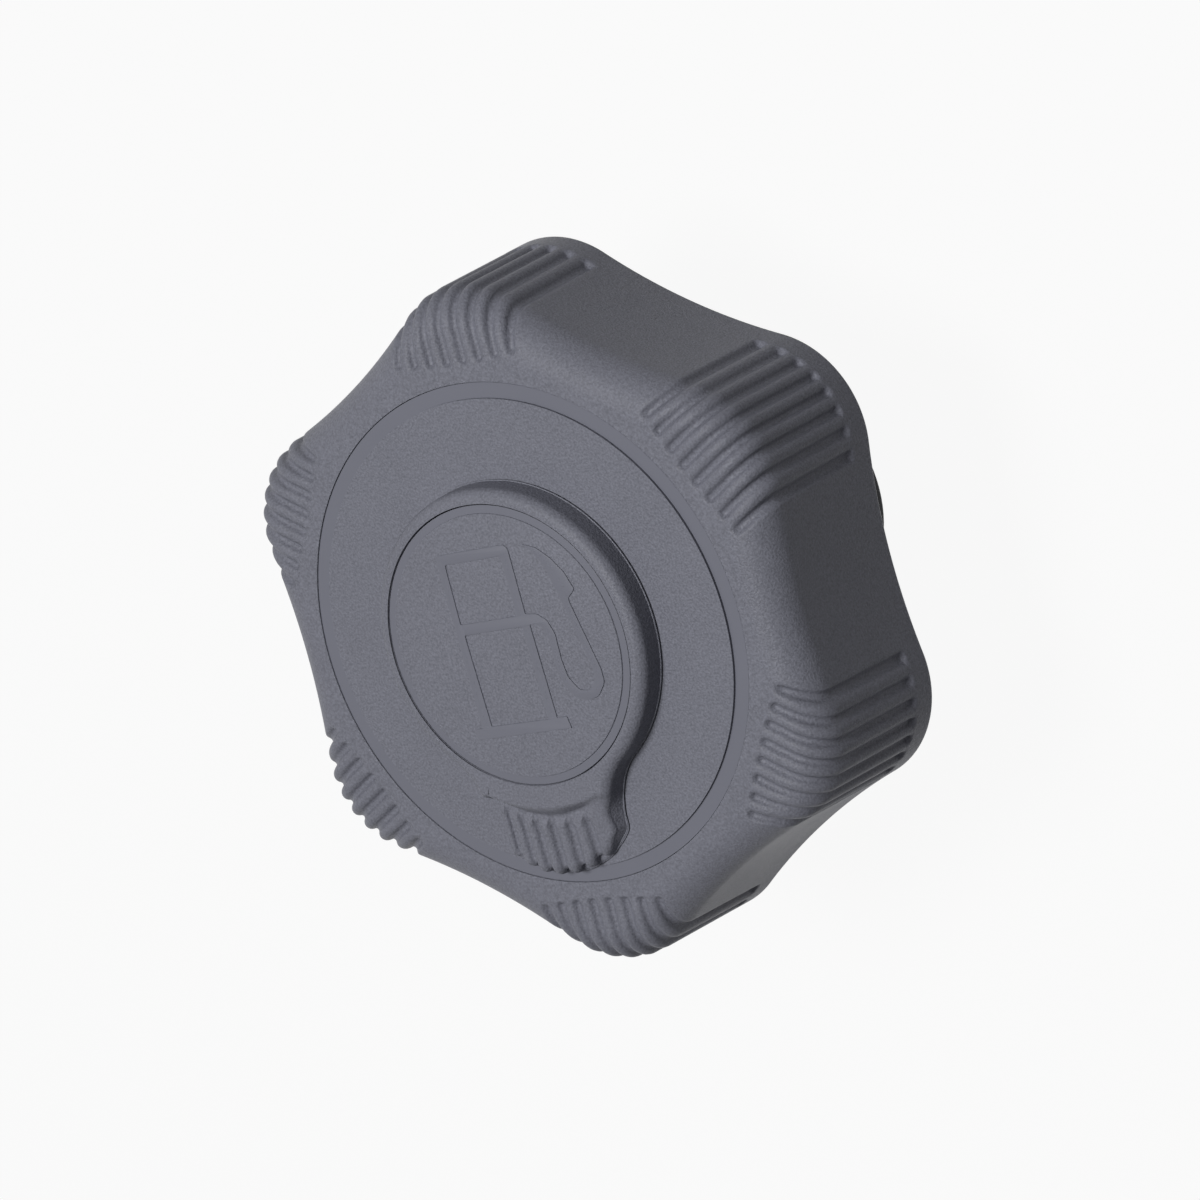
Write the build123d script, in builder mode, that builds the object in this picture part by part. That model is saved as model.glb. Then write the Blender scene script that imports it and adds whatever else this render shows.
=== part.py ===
from build123d import *
from math import cos, sin, sqrt, tan, radians
import os

os.makedirs("parts", exist_ok=True)

# Lockable fuel filler cap with a six-lobed grip, standing on the end of its plug.
# The origin is the centre of the plug's end face and +Z is the cap's axis, outward.
# The key cover's thumb tab points to -Y and its pivot lies at +Y.

# Fits and gaps
running_fit = 0.05        # radial clearance of a turning shaft
bearing_fit = 0.08        # radial clearance of the grip on the plug's collar
slide_gap = 0.2           # each side of a sliding or swinging piece
face_gap = 0.1            # between faces that slide over each other
seat_gap = 0.05           # round a piece dropped into its seat
small_edge = 0.4          # chamfer or rounding of small turned edges

# Grip
face_z = 73.5             # front plane above the plug's end
grip_height = 31.0
lobe_count = 6
first_lobe = 90.0         # degrees from +X
front_land = 7.75         # from the face plate's pocket to the valleys between the lobes
lobe_depth = 7.0          # lobe tips beyond the valleys, at the front plane
tip_arc_r = 16.35         # rounding of one lobe in plan
grip_draft = 2.3          # degrees, wider towards the back
shoulder_r = 6.6
back_edge_r = 0.8
grip_wall = 2.8
grip_web = 2.5            # floor of the face plate's pocket
cavity_corner_r = 3.0

# Flutes in the lobes
flute_pitch = 3.3
flutes_per_lobe = 8
flute_r = 1.05
flute_lift = 0.15         # of the flute's axis over the surface
flute_land = 2.6          # plain front between the pocket and the flutes
flute_depth_z = 25.0      # how far they run down the wall

# Face plate
pocket_margin = 2.0       # pocket beyond the retaining ring
plate_gap = 0.25
plate_thick = 3.0
plate_band_drop = 0.45    # smooth band below the grip's front
plate_band_width = 2.64
plate_disc_rise = 0.4
peg_count = 4
peg_r = 1.6
peg_circle_r = 24.0
peg_angle = 45.0
peg_head_r = 2.5
peg_head_thick = 1.2
peg_head_taper = 20.0

# Key cover
head_r = 25.85
cover_top = 5.56          # rim above the front plane
cover_lift = 0.15         # underside above the raised disc
cover_draft = 3.0
cover_edge_r = 1.9
cover_wall = 1.9
pivot_y = 20.5
tab_left = 11.6
tab_right = 10.4
tab_end_x = -3.0
tab_end_y = -22.5
tab_end_arc_r = 17.2
tab_corner_r = 2.6
tab_root_r = 13.0
step_r = 27.2             # where the rim ends and the thumb pad begins
step_width = 2.0
step_z = 4.45             # pad height behind the step
pad_end_z = 3.2           # pad height at plate_disc_r
pad_groove_count = 6
pad_groove_r = 0.95
pad_groove_lift = 0.25
pad_groove_top_y = -30.0
pad_groove_pitch = 3.3
pad_lip = 0.9             # plain edge below the grooves of the tab's end wall
pad_centre_x = -0.75

# Badge
badge_pocket_r = 23.49
badge_gap = 0.12
badge_band_z = 5.45
badge_disc_r = 22.05
badge_top = 5.84
badge_seat_z = 3.9
badge_edge_r = 0.15

# Cover pivot, stop and keyhole seal
pin_r = 2.0
pin_head_r = 2.8
pin_head_thick = 1.1
pin_end_below = 1.6       # pin beyond the web
pin_neck_r = 1.6
clip_r = 4.6
clip_thick = 0.7
friction_washer_r = 4.4
friction_washer_thick = 0.6
pivot_boss_r = 5.3
stop_r = 1.1
stop_circle_r = 6.5
stop_slot_r = 1.4
stop_depth = 1.0          # of the stop lug below the front plane
swing_deg = 115.0
seal_land = 0.6           # from the lock window to the keyhole seal
seal_width = 2.0
seal_height = 1.2
seal_boss_wall = 1.1
relief_depth = 1.7

# Lock cylinder
barrel_r = 11.0
barrel_end_z = 52.0
barrel_flange_width = 2.4
barrel_flange_thick = 1.6
barrel_nose_step = 2.0
barrel_nose_rise = 0.1
barrel_key_width = 3.0
barrel_key_rise = 1.3
barrel_key_length = 8.0
barrel_seal_thick = 0.8
hub_wall = 3.4
hub_end_z = 54.1
barrel_clip_reach = 1.6    # of the snap ring beyond the barrel
barrel_clip_thick = 0.8
barrel_groove_depth = 1.2
barrel_wall = 4.5
core_head_width = 1.15
core_head_thick = 1.7
core_recess = 0.2
key_slot_width = 2.4
key_slot_length = 9.0
key_slot_depth = 19.0
wafer_count = 5
wafer_pitch = 2.6
wafer_top_z = 67.5
wafer_thick = 1.0
wafer_length = 12.0
wafer_width = 4.8
wafer_window = 7.0
tail_side = 6.0
tail_length = 2.4

# Cam, bolt and its guide
cam_r = 13.0
cam_thick = 2.0
cam_drop = 0.4            # below the barrel's end
cam_pin_r = 1.25
cam_pin_start = 6.5       # bolt pin from the axis, bolt drawn back
cam_steps = 6             # intervals of the slot's curve
key_turn_deg = 90.0
bolt_travel = 4.2
bolt_thick = 3.0
bolt_width = 5.8
bolt_tip_x = 21.8
bolt_gap_z = 0.3
bolt_notch_gap = 0.8      # round the cam screw's head, bolt drawn back
cam_screw_r = 1.4
cam_screw_head_r = 3.4
cam_screw_head_thick = 1.6
cam_screw_length = 6.0
guide_r = 21.6
guide_floor = 2.4
rail_width = 3.0
guide_post_count = 3
guide_post_r = 3.2
guide_post_circle_r = 18.5
guide_screw_r = 1.2
guide_screw_head_r = 2.4
guide_screw_head_thick = 1.6
guide_screw_hole = 8.0    # depth of the hole in the grip's boss
guide_screw_length = 12.6

# Plug collar that carries the grip
collar_top_z = 65.0
collar_flange_width = 2.2
collar_flange_thick = 3.0
collar_r = 28.8
collar_wall = 2.3
thrust_ring_thick = 0.9
ring_thick = 2.6
ring_edge = 3.02          # of the retaining ring beyond its screws' centres
boss_angle = 30.0         # first screw boss and guide post from +X
ring_screw_count = 6
ring_boss_r = 3.0
ring_screw_r = 1.2
ring_screw_head_r = 2.2
ring_screw_head_thick = 1.6
ring_screw_grip = 4.5
bearing_wall = 2.9
grip_rib_thick = 1.8

# Dogs that the bolt engages
dog_count = 12
dog_bore_r = 22.3
dog_floor_z = 46.0
dog_height = 6.0
dog_slot_width = 6.4

# Plug
seal_flange_r = 38.0
seal_flange_thick = 3.0
gasket_out_r = 37.0
gasket_thick = 3.7
gasket_lip_r = 29.5
gasket_lip_thick = 2.0
gasket_top_z = 50.5
gasket_groove_width = 1.6
gasket_groove_depth = 0.8
plug_r = 25.0
plug_wall = 3.0
plug_floor_z = 39.5
plug_floor_thick = 2.5
plug_vent_count = 6
plug_vent_r = 1.6
plug_vent_circle_r = 15.0
pilot_r = 22.0
pilot_length = 10.0
pilot_bore_r = 19.2
pilot_taper = 3.0
pilot_edge_r = 0.8
shoulder_in_r = 17.6      # inner shoulder that the vent cartridge stands against
shoulder_height = 2.0

# Bayonet lugs
lug_count = 3
lug_r = 29.0
lug_angle = 36.0
lug_foot_z = 33.5
lug_low_z = 38.6
lug_high_z = 39.8
lug_stop_z = 43.0
lug_stop_angle = 5.0

# Vent valve cartridge
house_flange_r = 19.0
house_flange_z = 3.0
house_flange_top = 9.4
house_r = 15.0
house_bore_r = 13.2
house_top_z = 29.0
house_roof = 2.0
roof_hole_count = 6
roof_hole_r = 2.0
roof_hole_circle_r = 8.5
seat_floor_z = 8.4
seat_top_z = 10.9
seat_hole_r = 7.5
seat_rim_in_r = 8.8
seat_rim_out_r = 10.0
seat_floor_top = 10.2
inlet_r = 16.4
oring_section_r = 1.0
oring_z = 6.4
filter_thick = 2.0
retainer_thick = 2.3
retainer_slot_count = 8
retainer_slot_width = 2.4
retainer_slot_in_r = 5.0
retainer_slot_out_r = 14.5

# Pressure and vacuum valves
disc_r = 11.4
disc_thick = 2.4
disc_boss_r = 2.9
disc_boss_top = 16.0
disc_port_count = 4
disc_port_r = 0.8
disc_port_circle_r = 4.1
disc_seal_in_r = 8.4
disc_seal_out_r = 10.6
disc_seal_thick = 1.0
stem_r = 1.3
stem_top_z = 22.0
poppet_r = 5.2
poppet_thick = 1.2
poppet_seal_thick = 0.6
stem_neck_r = 1.0
stem_clip_r = 3.3
stem_clip_thick = 1.0
stem_clip_z = 20.6
pressure_coil_r = 9.6
pressure_wire_r = 0.6
pressure_turns = 4
vacuum_coil_r = 2.4
vacuum_wire_r = 0.35
vacuum_turns = 4

# Levels that follow from the sizes above
grip_back_z = face_z - grip_height
web_top_z = face_z - plate_thick
web_low_z = web_top_z - grip_web
disc_top_z = face_z + plate_disc_rise
cover_low_z = disc_top_z + cover_lift
cam_top_z = barrel_end_z - cam_drop
cam_low_z = cam_top_z - cam_thick
bolt_top_z = cam_low_z - bolt_gap_z
bolt_low_z = bolt_top_z - bolt_thick
guide_floor_z = bolt_low_z - bolt_gap_z
guide_low_z = guide_floor_z - guide_floor
collar_flange_z = collar_top_z - collar_flange_thick
thrust_top_z = collar_top_z + thrust_ring_thick
ring_top_z = collar_flange_z - face_gap
hub_r = barrel_r + seat_gap + hub_wall
gasket_low_z = gasket_top_z - gasket_thick
gasket_foot_z = gasket_low_z - gasket_lip_thick
shoulder_top_z = house_flange_top + shoulder_height

# Radii of the lock, worked out from its barrel
barrel_flange_r = barrel_r + barrel_flange_width
barrel_nose_r = barrel_r - barrel_nose_step
barrel_clip_r = barrel_r + barrel_clip_reach
barrel_groove_r = barrel_r - barrel_groove_depth
core_r = barrel_r - barrel_wall - running_fit
core_head_r = core_r + core_head_width
seal_in_r = barrel_nose_r + seal_land
seal_out_r = seal_in_r + seal_width

# Radii of the grip, worked out from the collar it turns on
collar_flange_r = collar_r + collar_flange_width
collar_bore_r = collar_r - collar_wall
bearing_r = collar_flange_r + bearing_fit
ring_screw_circle_r = bearing_r + bearing_wall + ring_boss_r
ring_out_r = ring_screw_circle_r + ring_edge
pocket_r = ring_out_r + pocket_margin
plate_disc_r = pocket_r - plate_band_width
flute_front_r = pocket_r + flute_land
valley_r = pocket_r + front_land
tip_r = valley_r + lobe_depth
lobe_pitch = 360.0 / lobe_count
tip_centre_r = tip_r - tip_arc_r


def lobed_outline(inset):
    """Plan of the grip: lobe arcs joined by hollow arcs that touch them, all moved in by inset."""
    half = radians(lobe_pitch / 2)
    hollow_r = (
        tip_centre_r**2 + valley_r**2 - 2 * tip_centre_r * valley_r * cos(half) - tip_arc_r**2
    ) / (2 * (tip_arc_r + tip_centre_r * cos(half) - valley_r))
    hollow_centre = Vector(valley_r + hollow_r, 0).rotate(Axis.Z, lobe_pitch / 2)
    lobe_centre = Vector(tip_centre_r, 0)
    touch = lobe_centre + (hollow_centre - lobe_centre).normalized() * (tip_arc_r - inset)
    with BuildSketch() as outline:
        with BuildLine():
            for k in range(lobe_count):
                turn = first_lobe + k * lobe_pitch
                start = Vector(touch.X, -touch.Y).rotate(Axis.Z, turn)
                tip = Vector(tip_r - inset, 0).rotate(Axis.Z, turn)
                end = touch.rotate(Axis.Z, turn)
                valley = Vector(valley_r - inset, 0).rotate(Axis.Z, turn + lobe_pitch / 2)
                following = Vector(touch.X, -touch.Y).rotate(Axis.Z, turn + lobe_pitch)
                ThreePointArc(start, tip, end)
                ThreePointArc(end, valley, following)
        make_face()
    return outline.sketch


def flute_cutter(side):
    """Ball-ended round cutter that follows the front, the shoulder and the wall of a lobe."""
    stretch = tip_arc_r / sqrt(tip_arc_r**2 - side**2)
    front_r = tip_centre_r + sqrt(tip_arc_r**2 - side**2)
    lean = tan(radians(grip_draft)) * stretch
    lift = flute_lift * stretch
    start = (sqrt(flute_front_r**2 - side**2), face_z + flute_lift)
    corner = (front_r + lift, face_z + flute_lift)
    foot_z = face_z - flute_depth_z
    foot = (front_r + lift + lean * flute_depth_z, foot_z)
    bend = shoulder_r * (1 + stretch) / 2 + flute_lift
    wall = Plane(origin=(0, side, 0), x_dir=(1, 0, 0), z_dir=(0, -1, 0))
    with BuildPart() as cutter:
        with BuildLine(wall) as path:
            FilletPolyline(start, corner, foot, radius=bend)
        with BuildSketch(path.line ^ 0):
            Circle(flute_r)
        sweep()
        with Locations(path.line @ 0, path.line @ 1):
            Sphere(flute_r)
    return cutter.part


def tube(outer, inner, low, high):
    """Plain ring about the cap's axis."""
    with BuildPart() as ring:
        with BuildSketch(Plane.XY.offset(low)):
            Circle(outer)
            Circle(inner, mode=Mode.SUBTRACT)
        extrude(amount=high - low)
    return ring.part


def coil(radius, wire, low, high, turns):
    """Open compression spring standing between two flat seats."""
    with BuildPart() as spring:
        with BuildLine() as path:
            Helix(
                pitch=(high - low - 2 * wire) / turns,
                height=high - low - 2 * wire,
                radius=radius,
                center=(0, 0, low + wire),
            )
        with BuildSketch(path.line ^ 0):
            Circle(wire)
        sweep(is_frenet=True)
    return spring.part


def screw_set(circle_r, count, first, head_low, head_r, head_thick, shank_r, length):
    """Like pan-head screws standing head down on a circle."""
    with BuildPart() as screws:
        with BuildSketch(Plane.XY.offset(head_low)):
            with PolarLocations(circle_r, count, first):
                Circle(head_r)
        extrude(amount=head_thick)
        with BuildSketch(Plane.XY.offset(head_low + head_thick)):
            with PolarLocations(circle_r, count, first):
                Circle(shank_r)
        extrude(amount=length)
        lower = screws.faces().filter_by(Axis.Z).group_by(Axis.Z)[0]
        chamfer(lower.edges(), head_thick / 4)
        with BuildSketch(Plane.XY.offset(head_low)):
            with PolarLocations(circle_r, count, first):
                RegularPolygon(head_r / 2, 6)
        extrude(amount=head_thick / 2, mode=Mode.SUBTRACT)
    return screws.part


def cover_outline(inset):
    """Plan of the key cover: round head and thumb tab with hollow roots, moved in by inset."""
    end_r = tab_end_arc_r - inset
    left_x = -tab_left + inset
    right_x = tab_right - inset
    left = (left_x, tab_end_y - sqrt(end_r**2 - (left_x - tab_end_x) ** 2))
    right = (right_x, tab_end_y - sqrt(end_r**2 - (right_x - tab_end_x) ** 2))
    with BuildSketch() as outline:
        with BuildLine():
            ThreePointArc(left, (tab_end_x, tab_end_y - end_r), right)
            Polyline(right, (right_x, 0), (left_x, 0), left)
        make_face()
        fillet(outline.vertices().sort_by(Axis.Y)[:2], tab_corner_r - inset / 2)
        Circle(head_r - inset)
        fillet(outline.vertices().sort_by(Axis.Y)[4:6], tab_root_r)
    return outline.sketch


def pad_level(radius):
    """Height of the sloping thumb pad at a distance from the cap's axis."""
    slope = (pad_end_z - step_z) / (plate_disc_r - step_r)
    return face_z + step_z + slope * (radius - step_r - step_width)


def pad_cutter(x):
    """Ball-ended round cutter for a thumb groove: along the pad, over its end and down the wall."""
    from_arc = x - tab_end_x
    stretch = tab_end_arc_r / sqrt(tab_end_arc_r**2 - from_arc**2)
    end_y = tab_end_y - sqrt(tab_end_arc_r**2 - from_arc**2)
    wall_y = end_y - pad_groove_lift * stretch
    start = (pad_groove_top_y, pad_level(sqrt(x**2 + pad_groove_top_y**2)) + pad_groove_lift)
    corner = (wall_y, pad_level(sqrt(x**2 + end_y**2)) + pad_groove_lift)
    foot = (wall_y, cover_low_z + pad_lip)
    with BuildPart() as cutter:
        with BuildLine(Plane.YZ.offset(x)) as path:
            FilletPolyline(start, corner, foot, radius=pad_groove_r)
        with BuildSketch(path.line ^ 0):
            Circle(pad_groove_r)
        sweep()
        with Locations(path.line @ 0, path.line @ 1):
            Sphere(pad_groove_r)
    return cutter.part


def bayonet_lug():
    """Lug at +X whose top rises towards a stop."""
    half = lug_r * sin(radians(lug_angle / 2))
    stop = half - lug_r * sin(radians(lug_stop_angle))
    with BuildPart() as lug:
        with BuildSketch(Plane.XY.offset(lug_foot_z)):
            Circle(lug_r)
            Circle(plug_r - plug_wall / 2, mode=Mode.SUBTRACT)
        extrude(amount=lug_stop_z - lug_foot_z)
        with BuildSketch(Plane.YZ):
            with BuildLine():
                Polyline(
                    (-half, lug_foot_z), (-half, lug_low_z), (stop, lug_high_z),
                    (stop, lug_stop_z), (half, lug_stop_z), (half, lug_foot_z), close=True,
                )
            make_face()
        extrude(amount=lug_r, mode=Mode.INTERSECT)
    return lug.part


# Inside of the grip, open at the back
with BuildPart() as grip_cavity:
    back_growth = grip_height * tan(radians(grip_draft))
    with BuildSketch(Plane.XY.offset(grip_back_z)):
        add(lobed_outline(grip_wall - back_growth))
    extrude(amount=web_low_z - grip_back_z, taper=grip_draft)
    fillet(grip_cavity.faces().sort_by(Axis.Z)[-1].edges(), cavity_corner_r)

# Ribs between the bearing and the wall of the grip
with BuildPart() as grip_ribs:
    add(grip_cavity.part)
    with BuildSketch(Plane.XY.offset(web_low_z)):
        with PolarLocations(bearing_r + bearing_wall / 2, 2 * lobe_count):
            Rectangle(tip_r, grip_rib_thick, align=(Align.MIN, Align.CENTER))
    extrude(amount=ring_top_z - web_low_z, mode=Mode.INTERSECT)

# Grip: moulded six-lobed shell with the lock hub, the bearing and the screw bosses inside
with BuildPart() as grip_knob:
    with BuildSketch(Plane.XY.offset(face_z)):
        add(lobed_outline(0))
    extrude(amount=-grip_height, taper=-grip_draft)
    fillet(grip_knob.faces().sort_by(Axis.Z)[-1].edges(), shoulder_r)
    fillet(grip_knob.faces().sort_by(Axis.Z)[0].edges(), back_edge_r)
    add(grip_cavity.part, mode=Mode.SUBTRACT)
    add(grip_ribs.part)
    with BuildSketch(Plane.XY.offset(face_z)):
        Circle(pocket_r)
    extrude(amount=-plate_thick, mode=Mode.SUBTRACT)
    with BuildSketch(Plane.XY.offset(web_low_z)):
        Circle(bearing_r + bearing_wall)
        with PolarLocations(ring_screw_circle_r, ring_screw_count, boss_angle):
            Circle(ring_boss_r)
        Circle(bearing_r, mode=Mode.SUBTRACT)
    extrude(amount=ring_top_z - web_low_z)
    with BuildSketch(Plane.XY.offset(web_low_z)):
        Circle(collar_flange_r - slide_gap)
        Circle(collar_bore_r + slide_gap, mode=Mode.SUBTRACT)
    extrude(amount=thrust_top_z + face_gap - web_low_z)
    with BuildSketch(Plane.XY.offset(web_low_z)):
        Circle(hub_r)
    extrude(amount=hub_end_z - web_low_z)
    with BuildSketch(Plane.XY.offset(web_low_z)):
        with PolarLocations(guide_post_circle_r, guide_post_count, boss_angle):
            Circle(guide_post_r)
    extrude(amount=barrel_end_z - web_low_z)
    with BuildSketch(Plane.XY.offset(hub_end_z)):
        Circle(barrel_r + seat_gap)
    extrude(amount=web_top_z - hub_end_z, mode=Mode.SUBTRACT)
    with BuildSketch(Plane.XY.offset(web_low_z)):
        Circle(barrel_flange_r + slide_gap)
    extrude(amount=grip_web, mode=Mode.SUBTRACT)
    with BuildSketch(Plane.XY.offset(web_low_z)):
        with Locations((0, barrel_r + barrel_key_rise / 2)):
            Rectangle(barrel_key_width + 2 * seat_gap, barrel_key_rise + 2 * seat_gap)
    extrude(amount=-barrel_key_length - seat_gap, mode=Mode.SUBTRACT)
    with BuildSketch(Plane.XY.offset(web_low_z)):
        with PolarLocations(peg_circle_r, peg_count, peg_angle):
            Circle(peg_r + seat_gap)
        with Locations((0, pivot_y)):
            Circle(pin_r)
    extrude(amount=grip_web, mode=Mode.SUBTRACT)
    with BuildSketch(Plane.XY.offset(barrel_end_z)):
        with PolarLocations(guide_post_circle_r, guide_post_count, boss_angle):
            Circle(guide_screw_r)
    extrude(amount=guide_screw_hole, mode=Mode.SUBTRACT)
    with BuildSketch(Plane.XY.offset(ring_top_z)):
        with PolarLocations(ring_screw_circle_r, ring_screw_count, boss_angle):
            Circle(ring_screw_r)
    extrude(amount=ring_screw_grip, mode=Mode.SUBTRACT)
    for k in range(flutes_per_lobe):
        cutter = flute_cutter((k - (flutes_per_lobe - 1) / 2) * flute_pitch)
        with PolarLocations(0, lobe_count, first_lobe):
            add(cutter, mode=Mode.SUBTRACT)
grip_knob.part.label = "grip_knob"
export_step(grip_knob.part, "parts/grip_knob.step")

# Face plate: stepped disc with the lock window, the stop groove and heat-staked pegs
with BuildPart() as face_plate:
    with BuildSketch(Plane.XY.offset(web_top_z)):
        Circle(pocket_r - plate_gap)
    extrude(amount=plate_thick - plate_band_drop)
    with BuildSketch(Plane.XY.offset(web_top_z)):
        Circle(plate_disc_r)
    extrude(amount=disc_top_z - web_top_z)
    with BuildSketch(Plane.XY.offset(web_top_z)):
        Circle(barrel_nose_r + slide_gap)
        with Locations((0, pivot_y)):
            Circle(pin_r)
    extrude(amount=disc_top_z - web_top_z, mode=Mode.SUBTRACT)
    with BuildSketch(Plane.XY.offset(face_z - stop_depth - slide_gap)):
        SlotArc(
            CenterArc((0, pivot_y), stop_circle_r, -90, swing_deg),
            2 * stop_slot_r,
        )
    extrude(amount=plate_thick, mode=Mode.SUBTRACT)
    with BuildSketch(Plane.XY.offset(web_top_z)):
        with PolarLocations(peg_circle_r, peg_count, peg_angle):
            Circle(peg_r)
    extrude(amount=-grip_web)
    with BuildSketch(Plane.XY.offset(web_low_z)):
        with PolarLocations(peg_circle_r, peg_count, peg_angle):
            Circle(peg_head_r)
    extrude(amount=-peg_head_thick, taper=peg_head_taper)
face_plate.part.label = "face_plate"
export_step(face_plate.part, "parts/face_plate.step")

# Retaining ring under the collar's flange, with six screws up into the grip's bosses
with BuildPart() as retaining_ring:
    with BuildSketch(Plane.XY.offset(ring_top_z - ring_thick)):
        Circle(ring_out_r)
        Circle(collar_r + slide_gap, mode=Mode.SUBTRACT)
        with PolarLocations(ring_screw_circle_r, ring_screw_count, boss_angle):
            Circle(ring_screw_r + seat_gap, mode=Mode.SUBTRACT)
    extrude(amount=ring_thick)
    chamfer(retaining_ring.faces().sort_by(Axis.Z)[0].edges().sort_by(SortBy.RADIUS)[-1], 2 * small_edge)
retaining_ring.part.label = "retaining_ring"
export_step(retaining_ring.part, "parts/retaining_ring.step")

ring_screws = screw_set(
    ring_screw_circle_r, ring_screw_count, boss_angle,
    ring_top_z - ring_thick - ring_screw_head_thick, ring_screw_head_r,
    ring_screw_head_thick, ring_screw_r, ring_thick + ring_screw_grip,
)
ring_screws.label = "ring_screws"
export_step(ring_screws, "parts/ring_screws.step")

# Lock barrel: flanged cylinder housing with a key that stops it turning in the hub
with BuildPart() as lock_barrel:
    flange_low_z = web_low_z + barrel_seal_thick
    flange_top_z = flange_low_z + barrel_flange_thick
    nose_top_z = face_z + barrel_nose_rise
    with BuildSketch(Plane.XY.offset(barrel_end_z)):
        Circle(barrel_r)
    extrude(amount=flange_top_z - barrel_end_z)
    with BuildSketch(Plane.XY.offset(flange_low_z)):
        Circle(barrel_flange_r)
    extrude(amount=barrel_flange_thick)
    with BuildSketch(Plane.XY.offset(flange_top_z)):
        Circle(barrel_nose_r)
    extrude(amount=nose_top_z - flange_top_z)
    chamfer(lock_barrel.faces().sort_by(Axis.Z)[-1].edges(), small_edge)
    with BuildSketch(Plane.XY.offset(web_low_z - barrel_key_length)):
        Rectangle(
            barrel_key_width, barrel_r + barrel_key_rise, align=(Align.CENTER, Align.MIN)
        )
    extrude(amount=barrel_key_length - seat_gap)
    with BuildSketch(Plane.XY.offset(hub_end_z - seat_gap)):
        Circle(barrel_flange_r)
        Circle(barrel_groove_r, mode=Mode.SUBTRACT)
    extrude(amount=-barrel_clip_thick, mode=Mode.SUBTRACT)
    with BuildSketch(Plane.XY.offset(barrel_end_z)):
        Circle(core_r + running_fit)
    extrude(amount=nose_top_z - barrel_end_z, mode=Mode.SUBTRACT)
    with BuildSketch(Plane.XY.offset(nose_top_z - core_recess - core_head_thick - face_gap)):
        Circle(core_head_r + running_fit)
    extrude(amount=plate_thick, mode=Mode.SUBTRACT)
lock_barrel.part.label = "lock_barrel"
export_step(lock_barrel.part, "parts/lock_barrel.step")

# Flat rubber seal under the barrel's flange
barrel_seal = tube(barrel_flange_r, barrel_r + seat_gap, web_low_z, web_low_z + barrel_seal_thick)
barrel_seal.label = "barrel_seal"
export_step(barrel_seal, "parts/barrel_seal.step")

# Snap ring that holds the barrel in the hub
with BuildPart() as barrel_clip:
    with BuildSketch(Plane.XY.offset(hub_end_z - seat_gap)):
        Circle(barrel_clip_r)
        Circle(barrel_groove_r + seat_gap, mode=Mode.SUBTRACT)
        with Locations((0, -barrel_clip_r)):
            Rectangle(barrel_groove_r / 2, barrel_groove_r, mode=Mode.SUBTRACT)
    extrude(amount=-barrel_clip_thick)
barrel_clip.part.label = "barrel_clip"
export_step(barrel_clip.part, "parts/barrel_clip.step")

# Lock core: headed plug with the key slot, the wafer slots and a square tail for the cam
core_top_z = face_z + barrel_nose_rise - core_recess
with BuildPart() as lock_core:
    with BuildSketch(Plane.XY.offset(barrel_end_z)):
        Circle(core_r)
    extrude(amount=core_top_z - barrel_end_z)
    with BuildSketch(Plane.XY.offset(core_top_z)):
        Circle(core_head_r)
    extrude(amount=-core_head_thick)
    chamfer(lock_core.faces().sort_by(Axis.Z)[-1].edges(), small_edge)
    with BuildSketch(Plane.XY.offset(barrel_end_z)):
        Rectangle(tail_side, tail_side)
    extrude(amount=-tail_length)
    with BuildSketch(Plane.XY.offset(core_top_z)):
        Rectangle(key_slot_width, key_slot_length)
    extrude(amount=-key_slot_depth, mode=Mode.SUBTRACT)
    for k in range(wafer_count):
        with BuildSketch(Plane.XY.offset(wafer_top_z - k * wafer_pitch + seat_gap)):
            Rectangle(wafer_width + 2 * seat_gap, 2 * core_r)
        extrude(amount=-wafer_thick - 2 * seat_gap, mode=Mode.SUBTRACT)
    with BuildSketch(Plane.XY.offset(barrel_end_z - tail_length)):
        Circle(cam_screw_r)
    extrude(amount=cam_screw_length, mode=Mode.SUBTRACT)
lock_core.part.label = "lock_core"
export_step(lock_core.part, "parts/lock_core.step")

# Wafers: thin plates with a window for the key, flush as when the key is in
with BuildPart() as lock_wafers:
    for k in range(wafer_count):
        with BuildSketch(Plane.XY.offset(wafer_top_z - k * wafer_pitch)):
            RectangleRounded(wafer_width, wafer_length, wafer_width / 4)
            Rectangle(key_slot_width + 2 * slide_gap, wafer_window, mode=Mode.SUBTRACT)
        extrude(amount=-wafer_thick)
lock_wafers.part.label = "lock_wafers"
export_step(lock_wafers.part, "parts/lock_wafers.step")

# Cam: disc with a slot whose distance from the axis grows evenly with the angle
with BuildPart() as lock_cam:
    with BuildSketch(Plane.XY.offset(cam_low_z)):
        Circle(cam_r)
        Rectangle(tail_side + 2 * seat_gap, tail_side + 2 * seat_gap, mode=Mode.SUBTRACT)
        with BuildLine():
            spiral = Spline(
                *[
                    Vector(cam_pin_start + bolt_travel * k / cam_steps, 0).rotate(
                        Axis.Z, -key_turn_deg * k / cam_steps
                    )
                    for k in range(cam_steps + 1)
                ]
            )
        trace(spiral, line_width=2 * (cam_pin_r + face_gap), mode=Mode.SUBTRACT)
        with Locations(spiral @ 0, spiral @ 1):
            Circle(cam_pin_r + face_gap, mode=Mode.SUBTRACT)
    extrude(amount=cam_thick)
lock_cam.part.label = "lock_cam"
export_step(lock_cam.part, "parts/lock_cam.step")

cam_screw = screw_set(
    0, 1, 0, cam_low_z - cam_screw_head_thick, cam_screw_head_r,
    cam_screw_head_thick, cam_screw_r, cam_screw_length,
)
cam_screw.label = "cam_screw"
export_step(cam_screw, "parts/cam_screw.step")

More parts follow.
